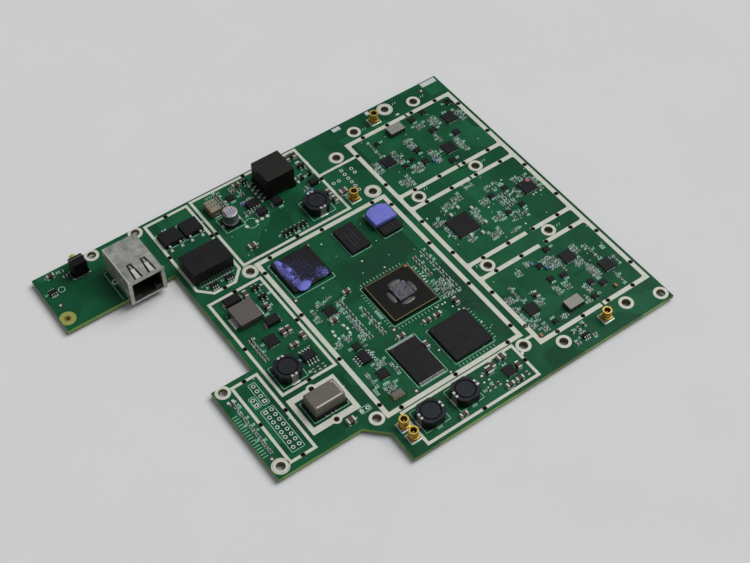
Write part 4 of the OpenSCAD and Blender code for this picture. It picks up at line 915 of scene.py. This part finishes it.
@dataclass
class Legend(Assembly):
    """The printed outlines, ticks and plain marks."""

    ink_h: float = 0.02
    ink_w: float = 0.2
    frames: Sequence[Span] = (
        (107.5, 88, 116.9, 102.6), (123.3, 88, 132, 103), (81.7, 5.9, 92.6, 16.4),
        (97.2, 5.9, 108, 16.4), (51, 51.5, 61.8, 62.5), (105.8, 112.3, 116.7, 123.5),
        (38, 50.1, 40.3, 55.3), (41.1, 49.9, 44, 60.5), (38.6, 27.4, 44, 48.3), (67.8, 25.9, 72.2, 28.4),
        (50, 133.4, 58.6, 142.2), (59.3, 133.4, 67.9, 142.2), (77.8, 83.9, 96.6, 103.3),
        (108.6, 23.4, 127.2, 42), (91.2, 23, 104.6, 44), (74.2, 127, 83, 135.6), (100.4, 50.6, 122.9, 73.1),
        (74.6, 10.8, 79.2, 15.5), (74.6, 5, 79.2, 9.7), (123.4, 110.3, 128.2, 115.1),
        (155.9, 141.5, 160.7, 146.3), (165.5, 4.8, 170.3, 9.6), (51.9, 32.6, 66.9, 42.6),
    )
    circles: Sequence[Triple] = ((68.5, 27.2, 0.4), (70.5, 27.2, 0.4), (85, 126, 2.7), (7.5, 140.5, 1.4))
    # Rows of ticks: first place, step, count and the run of one tick
    combs: Sequence[tuple[Place, Place, int, Place]] = (
        ((29, 31.5), (0, 1.35), 16, (2, 0)), ((101.7, 73.8), (1.55, 0), 13, (0, 0.9)),
        ((101.7, 49.7), (1.55, 0), 13, (0, -0.9)), ((99.8, 52), (0, 1.5), 13, (-0.9, 0)),
        ((123.5, 52), (0, 1.5), 13, (0.9, 0)), ((109.5, 22.6), (1.6, 0), 11, (0, -0.9)),
        ((127.8, 25), (0, 1.6), 11, (0.9, 0)), ((76.6, 147.2), (0.9, 0), 8, (0.3, 1)),
        ((24.4, 122), (1, 0), 1, (0, 16)), ((24.4, 138), (0, 1), 1, (1.5, 0)),
        ((76.9, 29.2), (0, 0.5), 7, (1.3, 0)), ((189.4, 33.4), (0, 0.4), 6, (1.6, 0)),
        ((98.5, 56.8), (0, 0.5), 9, (1.2, 0)), ((135.2, 50), (0, 3.1), 4, (0.9, 0)),
    )
    # Pairs of slanted ticks beside the mounting holes
    pairs: Sequence[Place] = (
        (151.4, 142), (170.6, 147), (183, 143.5), (151.8, 99.5), (180.7, 98), (143.6, 55), (182.9, 53),
    )
    pair_pitch: float = 1.2
    pair_run: Place = (0.5, 1)
    large: Sequence[str] = (
        "soic_bodies", "sot_bodies", "leadless_bodies", "diode_bodies", "drum_coil_cores",
        "power_transistor_bodies",
    )
    small: Sequence[str] = ("capacitor_bodies", "resistor_bodies")
    small_share: float = 0.85  # the share of small parts that have a mark
    mark_gap: float = 0.9
    mark_back: float = 0.6
    mark_pitch: float = 0.55
    mark_lean: float = 0.25
    mark_h: float = 1.1
    mark_w: float = 0.26

    def build(self) -> None:
        """Prints the legend."""
        bm = bmesh.new()
        for span in self.frames:
            self.outline(bm, span, self.ink_w, self.ink_h)
        for x, y, radius in self.circles:
            ring(bm, self.at(x, y), radius - self.ink_w, radius, self.ink_h, steps=24)
        pairs = ((place, (self.pair_pitch, 0), 2, self.pair_run) for place in self.pairs)
        for start, step, count, run in (*self.combs, *pairs):
            for i in range(count):
                x, y = start[0] + i * step[0], start[1] + i * step[1]
                self.stroke(bm, (x, y), (x + run[0], y + run[1]), self.ink_w, self.ink_h)
        self.add("printed_outlines", bm, INK, Look.MASK)
        self.mark_parts()

    def mark_parts(self) -> None:
        """Prints a few plain strokes beside the parts, in place of their marks."""
        draw = random.Random(SEED + 1)
        bm = bmesh.new()
        for name in (*self.large, *self.small):
            for box in self.boxes(name):
                if name in self.small and draw.random() > self.small_share:
                    continue
                reach = max(box.size.x, box.size.y) / 2 / MM + self.mark_gap
                place = (box.centre - self.corner) / MM
                side = draw.choice(((-1, 0), (1, 0), (0, -1), (0, 1)))
                x, y = place.x + side[0] * reach - self.mark_back, place.y + side[1] * reach
                for i in range(3 if name in self.small else 4):
                    foot = (x + i * self.mark_pitch, y)
                    top = y + self.mark_h * draw.uniform(0.5, 1.0)
                    end = (foot[0] + draw.choice((0.0, self.mark_lean)), top)
                    self.stroke(bm, foot, end, self.mark_w, self.ink_h)
        self.add("printed_marks", bm, INK, Look.MASK)


@dataclass
class Tracks(Assembly):
    """The bare tracks, lands and fiducials."""

    window: Triple = (0.6, 1.15, 0.02)  # inner and outer radius and height
    pin_r: float = 0.7
    pin_play: float = 0.06
    # Ring of painted shade on the track round each pin hole
    rim: Place = (0.98, 0.12)  # outer radius and height

    def build(self) -> None:
        """Dresses the tracks, paints shade in near-black rings round their pin holes and opens the mask round
        the fiducials.
        """
        self.dress(
            Look.TRACK, "power_cell_tracks", "converter_cell_track", "core_cell_track",
            "clock_cell_tracks", "edge_cell_track", "radio_cell_tracks", "mounting_lands",
        )
        self.dress(Look.LAND, "header_lands", "fiducials")
        windows, rim_shades = bmesh.new(), bmesh.new()
        for dot in self.boxes("fiducials"):
            ring(windows, dot.foot, *self.window, steps=20)
        self.add("fiducial_windows", windows, PIN_BORE, Look.MASK)
        # Near-black rings on the tracks round the pin holes: painted shade
        for bore in bores(self.nodes["board"]):
            if abs(bore.size.x / 2 / MM - self.pin_r) < self.pin_play:
                foot = Vector((*bore.centre.xy, self.corner.z))
                ring(rim_shades, foot, self.pin_r, *self.rim, steps=16)
        self.add("pin_hole_rim_shades", rim_shades, PIN_BORE, Look.LAND)


@dataclass
class SolderWork(Assembly):
    """The solder that holds every part: fillets on the end caps, toes at the leads."""

    cap_rim: float = 0.2
    cap_wet: float = 0.5
    foot_l: float = 0.9
    foot_out: float = 0.25
    foot_h: float = 0.12
    broad_rim: float = 0.3
    toe_pitch: float = 0.65
    toe_out: float = 0.1
    toe: Triple = (0.3, 0.5, 0.14)
    # The share of a mound's sides that is left at its top
    cap_top: float = 0.75
    toe_top: float = 0.8
    broad_top: float = 0.85
    # Leads, the bodies that they belong to and how far their solder spreads
    leads: Sequence[tuple[str, str, float]] = (
        ("soic_leads", "soic_bodies", 0.12), ("sot_leads", "sot_bodies", 0.12),
        ("flash_leads", "flash_body", 0.05), ("lan_transformer_leads", "lan_transformer_body", 0.1),
        ("flyback_pins", "flyback_bobbin", 0.3), ("power_transistor_leads", "power_transistor_bodies", 0.2),
    )
    broad: Sequence[str] = (
        "diode_terminals", "tantalum_terminals", "drum_coil_clips", "moulded_coil_terminals",
        "electrolytic_leads",
    )

    def build(self) -> None:
        """Adds the solder."""
        self.wet_caps()
        self.wet_leads()
        self.wet_leadless()

    def wet_caps(self) -> None:
        """Stands a fillet round every end cap."""
        bm, rim = bmesh.new(), 2 * self.cap_rim * MM
        for cap in self.boxes("chip_end_caps"):
            size = Vector((cap.size.x + rim, cap.size.y + rim, cap.size.z * self.cap_wet))
            mound(bm, cap.foot, size, self.cap_top)
        self.add("chip_solder", bm, Look.LAND)

    def wet_leads(self) -> None:
        """Lays solder under the outer end of every lead and round the broad terminals."""
        bm, rim = bmesh.new(), 2 * self.broad_rim * MM
        for leads, bodies, rim_mm in self.leads:
            homes = self.boxes(bodies)
            for lead in self.boxes(leads):
                home = min(homes, key=lambda h: (h.centre - lead.centre).xy.length - h.size.xy.length / 2)
                self.wet_lead(bm, lead, home, rim_mm * MM)
        for name in self.broad:
            for box in self.boxes(name):
                size = Vector((box.size.x + rim, box.size.y + rim, self.foot_h * MM))
                mound(bm, box.foot, size, self.broad_top)
        self.add("lead_solder", bm, Look.LAND)

    def wet_lead(self, bm: Mesh, lead: Box, home: Box, rim: float) -> None:
        """Lays solder under the outer end of one lead.

        Args:
            bm: the mesh that gets the solder.
            lead: the lead's box.
            home: the box of the body that it belongs to.
            rim: how far the solder spreads beside the lead.
        """
        out = lead.centre - home.centre
        along = 0 if abs(out.x) / home.size.x > abs(out.y) / home.size.y else 1
        way = math.copysign(1.0, out[along])
        size = Vector((lead.size.x, lead.size.y, 0)) + Vector((1, 1, 0)) * 2 * rim
        size[along] = self.foot_l * MM
        size.z = self.foot_h * MM
        foot = lead.foot
        tip = lead.high[along] if way > 0 else lead.low[along]
        foot[along] = tip + way * (self.foot_out - self.foot_l / 2) * MM
        foot.z = min(home.low.z, lead.low.z)
        mound(bm, foot, size, self.toe_top)

    def wet_leadless(self) -> None:
        """Lays rows of toes round the leadless chips."""
        bm = bmesh.new()
        wide, deep, high = (v * MM for v in self.toe)
        for body in self.boxes("leadless_bodies"):
            for along in (0, 1):
                count = max(int(body.size[along] / MM / self.toe_pitch) - 1, 1)
                size = Vector((deep, wide, high) if along else (wide, deep, high))
                for i in range(count):
                    for way in (-1, 1):
                        foot = Vector((*body.centre.xy, self.corner.z))
                        foot[along] += (i - (count - 1) / 2) * self.toe_pitch * MM
                        foot[1 - along] += way * (body.size[1 - along] / 2 + deep * self.toe_out)
                        mound(bm, foot, size, self.toe_top)
        self.add("leadless_toes", bm, Look.LAND)


# ---- Connectors -------------------------------------------------------------------


@dataclass
class NetworkSocket(Assembly):
    """The network socket in its plated shell."""

    bulge: Triple = (0.7, 3.4, 2)
    bulge_at: Triple = (26.1, 121.2, 4.3)
    top: float = 12.0
    film_h: float = 0.03
    tongue_xs: Sequence[float] = (30.82, 36.81)
    # Where a top tongue ends and starts, and half its width there
    tongue: Span = (118.75, 126.5, 1.6, 0.9)
    # Width of the painted shadow along each slit
    slit_shadow_w: float = 0.4
    # The painted highlight in the middle of a tongue: how far from its two ends, and its width
    tongue_highlight: Triple = (1, 3.5, 1.5)
    # Painted highlight along the front and left rims of the shell's top
    rim: Sequence[tuple[Place, Place]] = (((26.4, 117.8), (40.5, 117.8)), ((26.4, 117.8), (26.4, 138.8)))
    rim_highlight_w: float = 0.3

    def build(self) -> None:
        """Dresses the socket, paints shadow and highlights on its tongues and rims, and presses the bulge
        into its side spring.
        """
        self.round_off(Look.SHELL, 0.1, "jack_shell")
        self.dress(Look.SOCKET, "jack_insert")
        self.dress(Look.GOLD, "jack_contacts")
        bm = bmesh.new()
        blob(bm, self.at(*self.bulge_at), mm(*self.bulge))
        self.add("jack_spring_bulge", bm, Look.SHELL)
        self.open_tongues()

    def open_tongues(self) -> None:
        """Paints shadow along the slits of the bent tongues as dark strokes, and highlights on the tongues
        and along the rims as light strokes.
        """
        slit_shadows, highlights = bmesh.new(), bmesh.new()
        front, back, wide, slim = self.tongue
        near, far, highlight_w = self.tongue_highlight
        for x in self.tongue_xs:
            corners = ((x - wide, front), (x - slim, back), (x + slim, back), (x + wide, front))
            for start, end in zip(corners, corners[1:]):
                self.stroke(slit_shadows, start, end, self.slit_shadow_w, self.film_h, self.top)
            self.stroke(highlights, (x, front + near), (x, back - far), highlight_w, self.film_h, self.top)
        for start, end in self.rim:
            self.stroke(highlights, start, end, self.rim_highlight_w, self.film_h, self.top)
        self.add("jack_tongue_slit_shadows", slit_shadows, SHADOW_GAP, Look.SOCKET)
        self.add("jack_highlights", highlights, PAINTED_HIGHLIGHT, Look.SHELL)


@dataclass
class Indicator(Assembly):
    """The right-angle indicator with its lens, and a band of painted highlight on its housing."""

    band_w: float = 1.1
    band_h: float = 0.06
    band_inset: float = 1.2
    strip_h: float = 0.7
    strip_out: float = 0.12

    def build(self) -> None:
        """Dresses the indicator and adds the strips at its foot and a band of painted highlight on its top.
        """
        self.round_off(Look.PLASTIC, 0.15, "indicator_housing")
        self.dress(Look.LENS, "indicator_led")
        self.dress(Look.LEAD, "indicator_leads")
        housing = self.boxes("indicator_housing")[0]
        strips, band = bmesh.new(), bmesh.new()
        out, high = self.strip_out * MM, self.strip_h * MM
        size = Vector((housing.size.x + out, housing.size.y + out, high))
        block(strips, housing.foot + Vector((0, 0, high / 2)), size)
        self.add("indicator_strips", strips, Look.LEAD)
        # A light band on the housing's top near its back edge: painted highlight
        level = Vector((housing.centre.x, housing.high.y - self.band_w * MM, housing.high.z))
        length = housing.size.x - self.band_inset * MM
        block(band, level, Vector((length, self.band_w * MM / 2, self.band_h * MM)))
        self.add("indicator_highlight_band", band, HOUSING_HIGHLIGHT, Look.PLASTIC)


@dataclass
class CoaxConnectors(Assembly):
    """The five push-on coaxial connectors."""

    # Rings round the shell: level, inner and outer radius, and height
    rings: Sequence[Patch] = ((4.4, 1.3, 1.9, 0.35), (0.9, 1.7, 2.05, 0.5))
    pad: Triple = (4.5, 4.5, 0.12)
    pad_top: float = 0.9

    def build(self) -> None:
        """Dresses the connectors and turns their lips and collars."""
        self.round_off(Look.GOLD, 0.06, "coax_shells", smooth=True)
        self.dress(Look.PTFE, "coax_insulators")
        self.dress(Look.GOLD, "coax_pins")
        lips, pads = bmesh.new(), bmesh.new()
        for insulator in self.boxes("coax_insulators"):
            for level, inner, outer, height in self.rings:
                ring(lips, insulator.foot + mm(0, 0, level), inner, outer, height)
            mound(pads, insulator.foot, mm(*self.pad), self.pad_top)
        self.add("coax_lips", lips, Look.GOLD)
        self.add("coax_solder", pads, Look.LAND)


# ---- Power parts, coils and cans --------------------------------------------------


@dataclass
class Transformers(Assembly):
    """The network transformer and the flyback transformer."""

    def build(self) -> None:
        """Dresses the transformers."""
        self.round_off(Look.EPOXY, 0.15, "lan_transformer_body")
        self.round_off(Look.LEAD, 0.05, "flyback_pins")
        # The leads under the body's overhang take the dark tin: painted shade
        shaded = self.round_off(Look.LEAD, 0.05, "lan_transformer_leads")[0]
        shaded.data.materials[0] = self.materials.get(SHADED_TIN)
        self.round_off(Look.TAPE, 0.25, "flyback_core", segments=2)
        self.round_off(Look.PLASTIC, 0.1, "flyback_bobbin")


@dataclass
class PowerParts(Assembly):
    """The power transistors, diodes and the two large capacitors."""

    print_h: float = 0.02
    # Plain strokes on a part's top: the xs, lower and upper y, lean, width and level
    prints: Sequence[tuple[Sequence[float], Place, float, float, float]] = (
        ((73.9, 75.1, 76.3, 77.5), (139.2, 140.4), 0.2, 0.3, 3.7),
        ((73.9, 75.1, 76.3, 77.5), (141.3, 142.4), 0.3, 0.3, 3.7),
        ((77.4, 78.6, 79.8), (130, 132.4), 0.1, 0.25, 6.6),
        ((76.2,), (130.2, 132.4), 0, 0.9, 6.6),
    )

    def build(self) -> None:
        """Dresses the parts and prints plain strokes on the two capacitors."""
        self.round_off(Look.EPOXY, 0.12, "power_transistor_bodies", "diode_bodies")
        self.round_off(Look.LEAD, 0.05, "power_transistor_leads", "diode_terminals", "tantalum_terminals")
        self.round_off(Look.TAN, 0.2, "tantalum_body")
        self.dress(Look.CAN, "electrolytic_can")
        self.round_off(Look.PLASTIC, 0.1, "electrolytic_base")
        self.dress(Look.LEAD, "electrolytic_leads")
        bm = bmesh.new()
        for xs, (low, high), lean, width, level in self.prints:
            for x in xs:
                self.stroke(bm, (x, low), (x + lean, high), width, self.print_h, level)
        self.add("capacitor_prints", bm, PRINT_DARK, Look.TAN)


@dataclass
class Coils(Assembly):
    """The four drum coils and the moulded coil."""

    def build(self) -> None:
        """Dresses the coils."""
        self.round_off(Look.FERRITE, 0.15, "drum_coil_cores", smooth=True)
        self.round_off(Look.LEAD, 0.06, "drum_coil_clips")
        self.round_off(Look.COIL, 0.35, "moulded_coil_body", segments=2)
        self.round_off(Look.LEAD, 0.05, "moulded_coil_terminals")


@dataclass
class Clocks(Assembly):
    """The oven oscillator and the crystal."""

    seals: Sequence[Place] = ((56.9, 32.6), (59.3, 32.6), (61, 32.6))
    seal: Place = (0.35, 0.3)  # radius and height
    vent_at: Triple = (64.6, 40.6, 6.4)
    vent: Place = (0.35, 0.04)
    fold_inset: float = 0.75
    fold_ends: float = 2.25
    # Width of the painted highlight along the fold at the front and the right, and its height
    fold_highlight: Triple = (0.4, 0.3, 0.03)

    def build(self) -> None:
        """Dresses the cans and their feet."""
        self.round_off(Look.PLASTIC, 0.1, "oscillator_base")
        self.dress(Look.STEEL, "oscillator_can")
        self.round_off(Look.CERAMIC, 0.06, "crystal_base")
        self.round_off(Look.STEEL, 0.08, "crystal_lid")
        seals, edge = bmesh.new(), bmesh.new()
        for x, y in self.seals:
            disc(seals, self.at(x, y), *self.seal)
        disc(seals, self.at(*self.vent_at), *self.vent)
        self.add("oscillator_seals", seals, Look.LEAD)
        # A light stroke on the can's top along its front and right folds: painted highlight
        can = self.boxes("oscillator_can")[0]
        inset, ends = self.fold_inset * MM, self.fold_ends * MM
        front_w, right_w, height = (v * MM for v in self.fold_highlight)
        front = Vector((can.centre.x, can.low.y + inset, can.high.z))
        block(edge, front, Vector((can.size.x - ends, front_w, height)))
        right = Vector((can.high.x - inset, can.centre.y, can.high.z))
        block(edge, right, Vector((right_w, can.size.y - ends, height)))
        self.add("oscillator_fold_highlight", edge, PAINTED_HIGHLIGHT, Look.STEEL)


@dataclass
class Filters(Assembly):
    """The two ceramic resonator filters."""

    notches: int = 4
    notch: Triple = (0.7, 0.1, 1.5)
    mark: Triple = (2.6, 0.35, 0.06)
    marks_at: Sequence[Place] = ((0.6, -0.8), (0.6, 0.8))

    def build(self) -> None:
        """Dresses the filters, paints shade into the notches of their fronts and lays two dark strokes on
        each top.
        """
        self.round_off(Look.RESONATOR, 0.06, "filter_blocks")
        self.dress(Look.RESONATOR, "filter_plates")
        bm, notch = bmesh.new(), mm(*self.notch)
        for box in self.boxes("filter_blocks"):
            for i in range(self.notches):
                x = box.low.x + (i + 0.5) * box.size.x / self.notches
                block(bm, Vector((x, box.low.y, box.low.z + notch.z / 2)), notch)
            for x, y in self.marks_at:
                spot = Vector((box.centre.x + x * MM, box.centre.y + y * MM, box.high.z))
                block(bm, spot, mm(*self.mark))
        self.add("filter_notch_shadows", bm, SHADOW_GAP, Look.RESONATOR)


# ---- Chips ------------------------------------------------------------------------


@dataclass
class Packages(Assembly):
    """The moulded chips, with their index dots and what a gap filler left on them."""

    # What the gap filler left: x, y, level, length, width, height and turn in degrees
    lumps: Sequence[Smear] = (
        (81.3, 101, 1.65, 2.6, 3.6, 0.8, 20), (83.1, 96, 1.65, 2.2, 2.6, 0.5, 0),
        (83.6, 86, 1.65, 6, 4, 0.9, 15), (82, 92.4, 1.62, 1.4, 2.4, 0.3, 30),
    )
    thick: Sequence[Smear] = (
        (81.2, 95.5, 1.6, 3, 12, 0.2, 6), (82, 89, 1.6, 3.6, 6, 0.2, 0), (93.7, 87.2, 1.6, 3, 3.6, 0.2, 0),
    )
    wiped: Sequence[Smear] = (
        (82.2, 94.2, 1.6, 6, 16, 0.14, 4), (84.8, 87, 1.6, 9, 4, 0.14, 0), (92.6, 88, 1.6, 5.6, 6, 0.14, 0),
    )
    thin: Sequence[Smear] = (
        (83.3, 94, 1.6, 8.8, 17, 0.08, 0), (87, 88, 1.6, 13, 6, 0.08, 0),
        (91.3, 89.2, 1.6, 8.2, 8.4, 0.08, 0), (87, 95, 1.6, 9, 9, 0.06, 30),
    )
    # Faint streaks on the memories: x, lower y, upper y
    streaks: Sequence[Triple] = (
        (125.8, 90, 92.6), (127.4, 89.6, 92.6), (129.4, 89.4, 92.6), (111, 90, 99), (112.6, 91, 98),
        (114, 92, 100),
    )
    streak: Triple = (0.3, 0.015, 1.6)  # width, height and level
    dot_r: float = 0.35
    dot_h: float = 0.015
    dot_inset: float = 1.2
    dot_share: float = 0.18  # the inset on a small chip, as a share of its length
    dotted_l: float = 4.5  # shorter chips have no dot

    def build(self) -> None:
        """Dresses the chips."""
        self.round_off(Look.EPOXY, 0.06, "soic_bodies", "sot_bodies", "leadless_bodies", "flash_body")
        self.round_off(Look.EPOXY, 0.1, "memory_bodies", "array_bodies")
        self.dress(Look.LEAD, "soic_leads", "sot_leads", "flash_leads", "chip_balls")
        self.dress(Look.LAND, "leadless_pads")
        self.smear()
        self.dot()
        pads = self.round_off(Look.PAD, 0.4, "heat_pads", segments=2, smooth=True)

    def smear(self) -> None:
        """Leaves the filler's lumps and films on the left array and streaks on the memories."""
        for name, smears, finish in (
            ("filler_lumps", self.lumps, Look.PAD), ("thick_films", self.thick, THICK_FILM),
            ("wiped_films", self.wiped, WIPED_FILM), ("thin_films", self.thin, THIN_FILM),
        ):
            bm = bmesh.new()
            for x, y, level, length, width, height, turn in smears:
                blob(bm, self.at(x, y, level), mm(length, width, height), math.radians(turn))
            self.add(name, bm, finish, Look.PAD)
        bm = bmesh.new()
        for x, y0, y1 in self.streaks:
            self.stroke(bm, (x, y0), (x, y1), *self.streak)
        self.add("memory_streaks", bm, WORN_PRINT, Look.EPOXY)

    def dot(self) -> None:
        """Presses the index dots of the larger chips."""
        bm = bmesh.new()
        for name in ("array_bodies", "memory_bodies", "flash_body", "soic_bodies", "leadless_bodies"):
            for box in self.boxes(name):
                if box.size.x < self.dotted_l * MM:
                    continue
                inset = min(self.dot_inset * MM, box.size.x * self.dot_share)
                foot = Vector((box.low.x + inset, box.high.y - inset, box.high.z))
                disc(bm, foot, self.dot_r, self.dot_h, sides=12)
        self.add("index_dots", bm, WORN_PRINT, Look.EPOXY)


@dataclass
class Processor(Assembly):
    """The processor: a bare die, glued in its ring on a dark substrate."""

    # Arcs of glue round the die and streaks of it on the die
    glue: Sequence[Patch] = (
        (112.2, 67, 5.8, 2.2), (107.3, 61.6, 2.2, 6), (117, 61.8, 2, 5.8), (111.8, 56.8, 6, 2.2),
    )
    glue_h: float = 0.35
    swirl: Sequence[Streak] = (
        (110.8, 63.4, 3.4, 0.9, 40), (113.4, 61, 3.8, 0.8, 25), (112.4, 64.4, 2.4, 0.7, -20),
        (110.6, 60.2, 2.6, 0.8, 60),
    )
    swirl_h: float = 0.05
    level: float = 1.5
    die_top: float = 2.3
    rim: Span = (101.7, 51.9, 121.7, 71.9)
    rim_line: Place = (0.25, 0.01)  # width and height
    index_at: Place = (120.9, 71.2)
    index: Place = (0.9, 0.03)  # radius and height

    def build(self) -> None:
        """Dresses the processor."""
        self.round_off(Look.SUBSTRATE, 0.06, "processor_substrate")
        self.round_off(Look.SILICON, 0.08, "processor_die")
        self.spread_glue()
        self.plate_edge()

    def spread_glue(self) -> None:
        """Spreads the glue and the streaks on the die."""
        bm = bmesh.new()
        for x, y, length, width in self.glue:
            blob(bm, self.at(x, y, self.level), mm(length, width, self.glue_h))
        for x, y, length, width, turn in self.swirl:
            blob(bm, self.at(x, y, self.die_top), mm(length, width, self.swirl_h), math.radians(turn))
        self.add("die_glue", bm, GLUE, Look.SILICON)

    def plate_edge(self) -> None:
        """Plates the thin line along the rim and the index corner."""
        bm, mark = bmesh.new(), bmesh.new()
        self.outline(bm, self.rim, *self.rim_line, self.level)
        self.add("substrate_rim", bm, SUBSTRATE_RIM, Look.SUBSTRATE)
        disc(mark, self.at(*self.index_at, self.level), *self.index, sides=3)
        self.add("index_corner", mark, INDEX_COPPER, Look.GOLD)


@dataclass
class ChipParts(Assembly):
    """The capacitors and resistors, with the few of another colour."""

    pale: Sequence[Place] = (
        (151.9, 82.1), (156.6, 83.8), (161, 80.3), (161, 71.3), (151.9, 69), (156.6, 67.5),
    )
    blue: Sequence[Place] = ((87, 136.6), (164.7, 110.3), (161.7, 43.5), (165.4, 38.8), (114.6, 126.2))
    ochre: Sequence[Place] = ((178, 136), (190.5, 134.5), (181.2, 16.5), (142.5, 15), (119.2, 146.8))
    small: Triple = (1.1, 1.7, 0.9)
    small_top: float = 0.94
    checked_at: Triple = (188.7, 78.6, 0.9)
    checked: Place = (0.9, 0.05)  # radius and height of the inspection dot

    def build(self) -> None:
        """Dresses the parts."""
        self.round_off(Look.CAPACITOR, 0.05, "capacitor_bodies")
        self.round_off(Look.RESISTOR, 0.03, "resistor_bodies")
        self.round_off(Look.LEAD, 0.04, "chip_end_caps")
        for name, places, finish in (
            ("pale_inductors", self.pale, PALE_GLAZE), ("blue_parts", self.blue, BLUE_GLAZE),
            ("ochre_parts", self.ochre, OCHRE_GLAZE),
        ):
            bm = bmesh.new()
            for x, y in places:
                mound(bm, self.at(x, y), mm(*self.small), self.small_top)
            self.add(name, bm, finish, Look.CAPACITOR)
        dot = bmesh.new()
        disc(dot, self.at(*self.checked_at), *self.checked, sides=20)
        self.add("inspection_dot", dot, PINK_DOT, Look.EPOXY)


# ---- Studio -----------------------------------------------------------------------


@dataclass(frozen=True)
class Studio:
    """The camera, the pale floor and the soft lights."""

    eye_mm: Triple = (-188.8, -277.6, 426.4)
    turn_deg: Triple = (38.66, 0.1, -35.92)
    lens_mm: float = 67.35
    sensor_mm: float = 36
    clip: Place = (0.01, 20)
    floor_side: float = 6.0
    floor_paint: Finish = Finish("painted_table", "#cfcfd0", "#cdcdce", 60, 0.7, 0.0, specular=0.1)
    sky: str = "#f4f5f7"
    sky_strength: float = 0.32
    sun_strength: float = 2.55
    sun_spread_deg: float = 46.0
    sun_turn_deg: Triple = (-33.0, 0.0, -98.0)

    def build(self) -> None:
        """Sets up the camera, floor and lights."""
        scene = bpy.context.scene
        scene.view_settings.view_transform = "Standard"
        lens = bpy.data.cameras.new("camera")
        lens.lens, lens.sensor_width = self.lens_mm, self.sensor_mm
        lens.clip_start, lens.clip_end = self.clip
        camera = bpy.data.objects.new("camera", lens)
        camera.location = mm(*self.eye_mm)
        camera.rotation_euler = [math.radians(a) for a in self.turn_deg]
        scene.collection.objects.link(camera)
        scene.camera = camera
        self.lay_floor()
        self.light()

    def lay_floor(self) -> None:
        """Lays the floor under the lead tips."""
        bm = bmesh.new()
        bmesh.ops.create_grid(bm, x_segments=1, y_segments=1, size=self.floor_side / 2)
        mesh = bpy.data.meshes.new("floor")
        bm.to_mesh(mesh)
        bm.free()
        mesh.materials.append(self.floor_paint.build())
        floor = bpy.data.objects.new("floor", mesh)
        bpy.context.scene.collection.objects.link(floor)

    def light(self) -> None:
        """Adds a broad soft sun and an even sky."""
        sun = bpy.data.lights.new("soft_sun", "SUN")
        sun.energy, sun.angle = self.sun_strength, math.radians(self.sun_spread_deg)
        lamp = bpy.data.objects.new("soft_sun", sun)
        lamp.rotation_euler = [math.radians(a) for a in self.sun_turn_deg]
        bpy.context.scene.collection.objects.link(lamp)
        world = bpy.data.worlds.new("even_sky")
        world.use_nodes = True
        back = world.node_tree.nodes["Background"]
        back.inputs["Color"].default_value = linear(self.sky)
        back.inputs["Strength"].default_value = self.sky_strength
        bpy.context.scene.world = world


def main() -> None:
    """Builds the studio and every sub-assembly in order."""
    logging.basicConfig(level=logging.INFO, format="%(name)s: %(message)s")
    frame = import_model()
    Studio().build()
    low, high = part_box("board")
    materials, corner = Materials(), Vector((low.x, low.y, high.z))
    for assembly in (
        Laminate, Legend, Tracks, SolderWork, NetworkSocket, Indicator, CoaxConnectors, Transformers,
        PowerParts, Coils, Clocks, Filters, Packages, Processor, ChipParts,
    ):
        assembly(frame["nodes"], materials, corner).build()
        LOG.info("%s done", assembly.__name__)


if __name__ == "__main__":
    main()
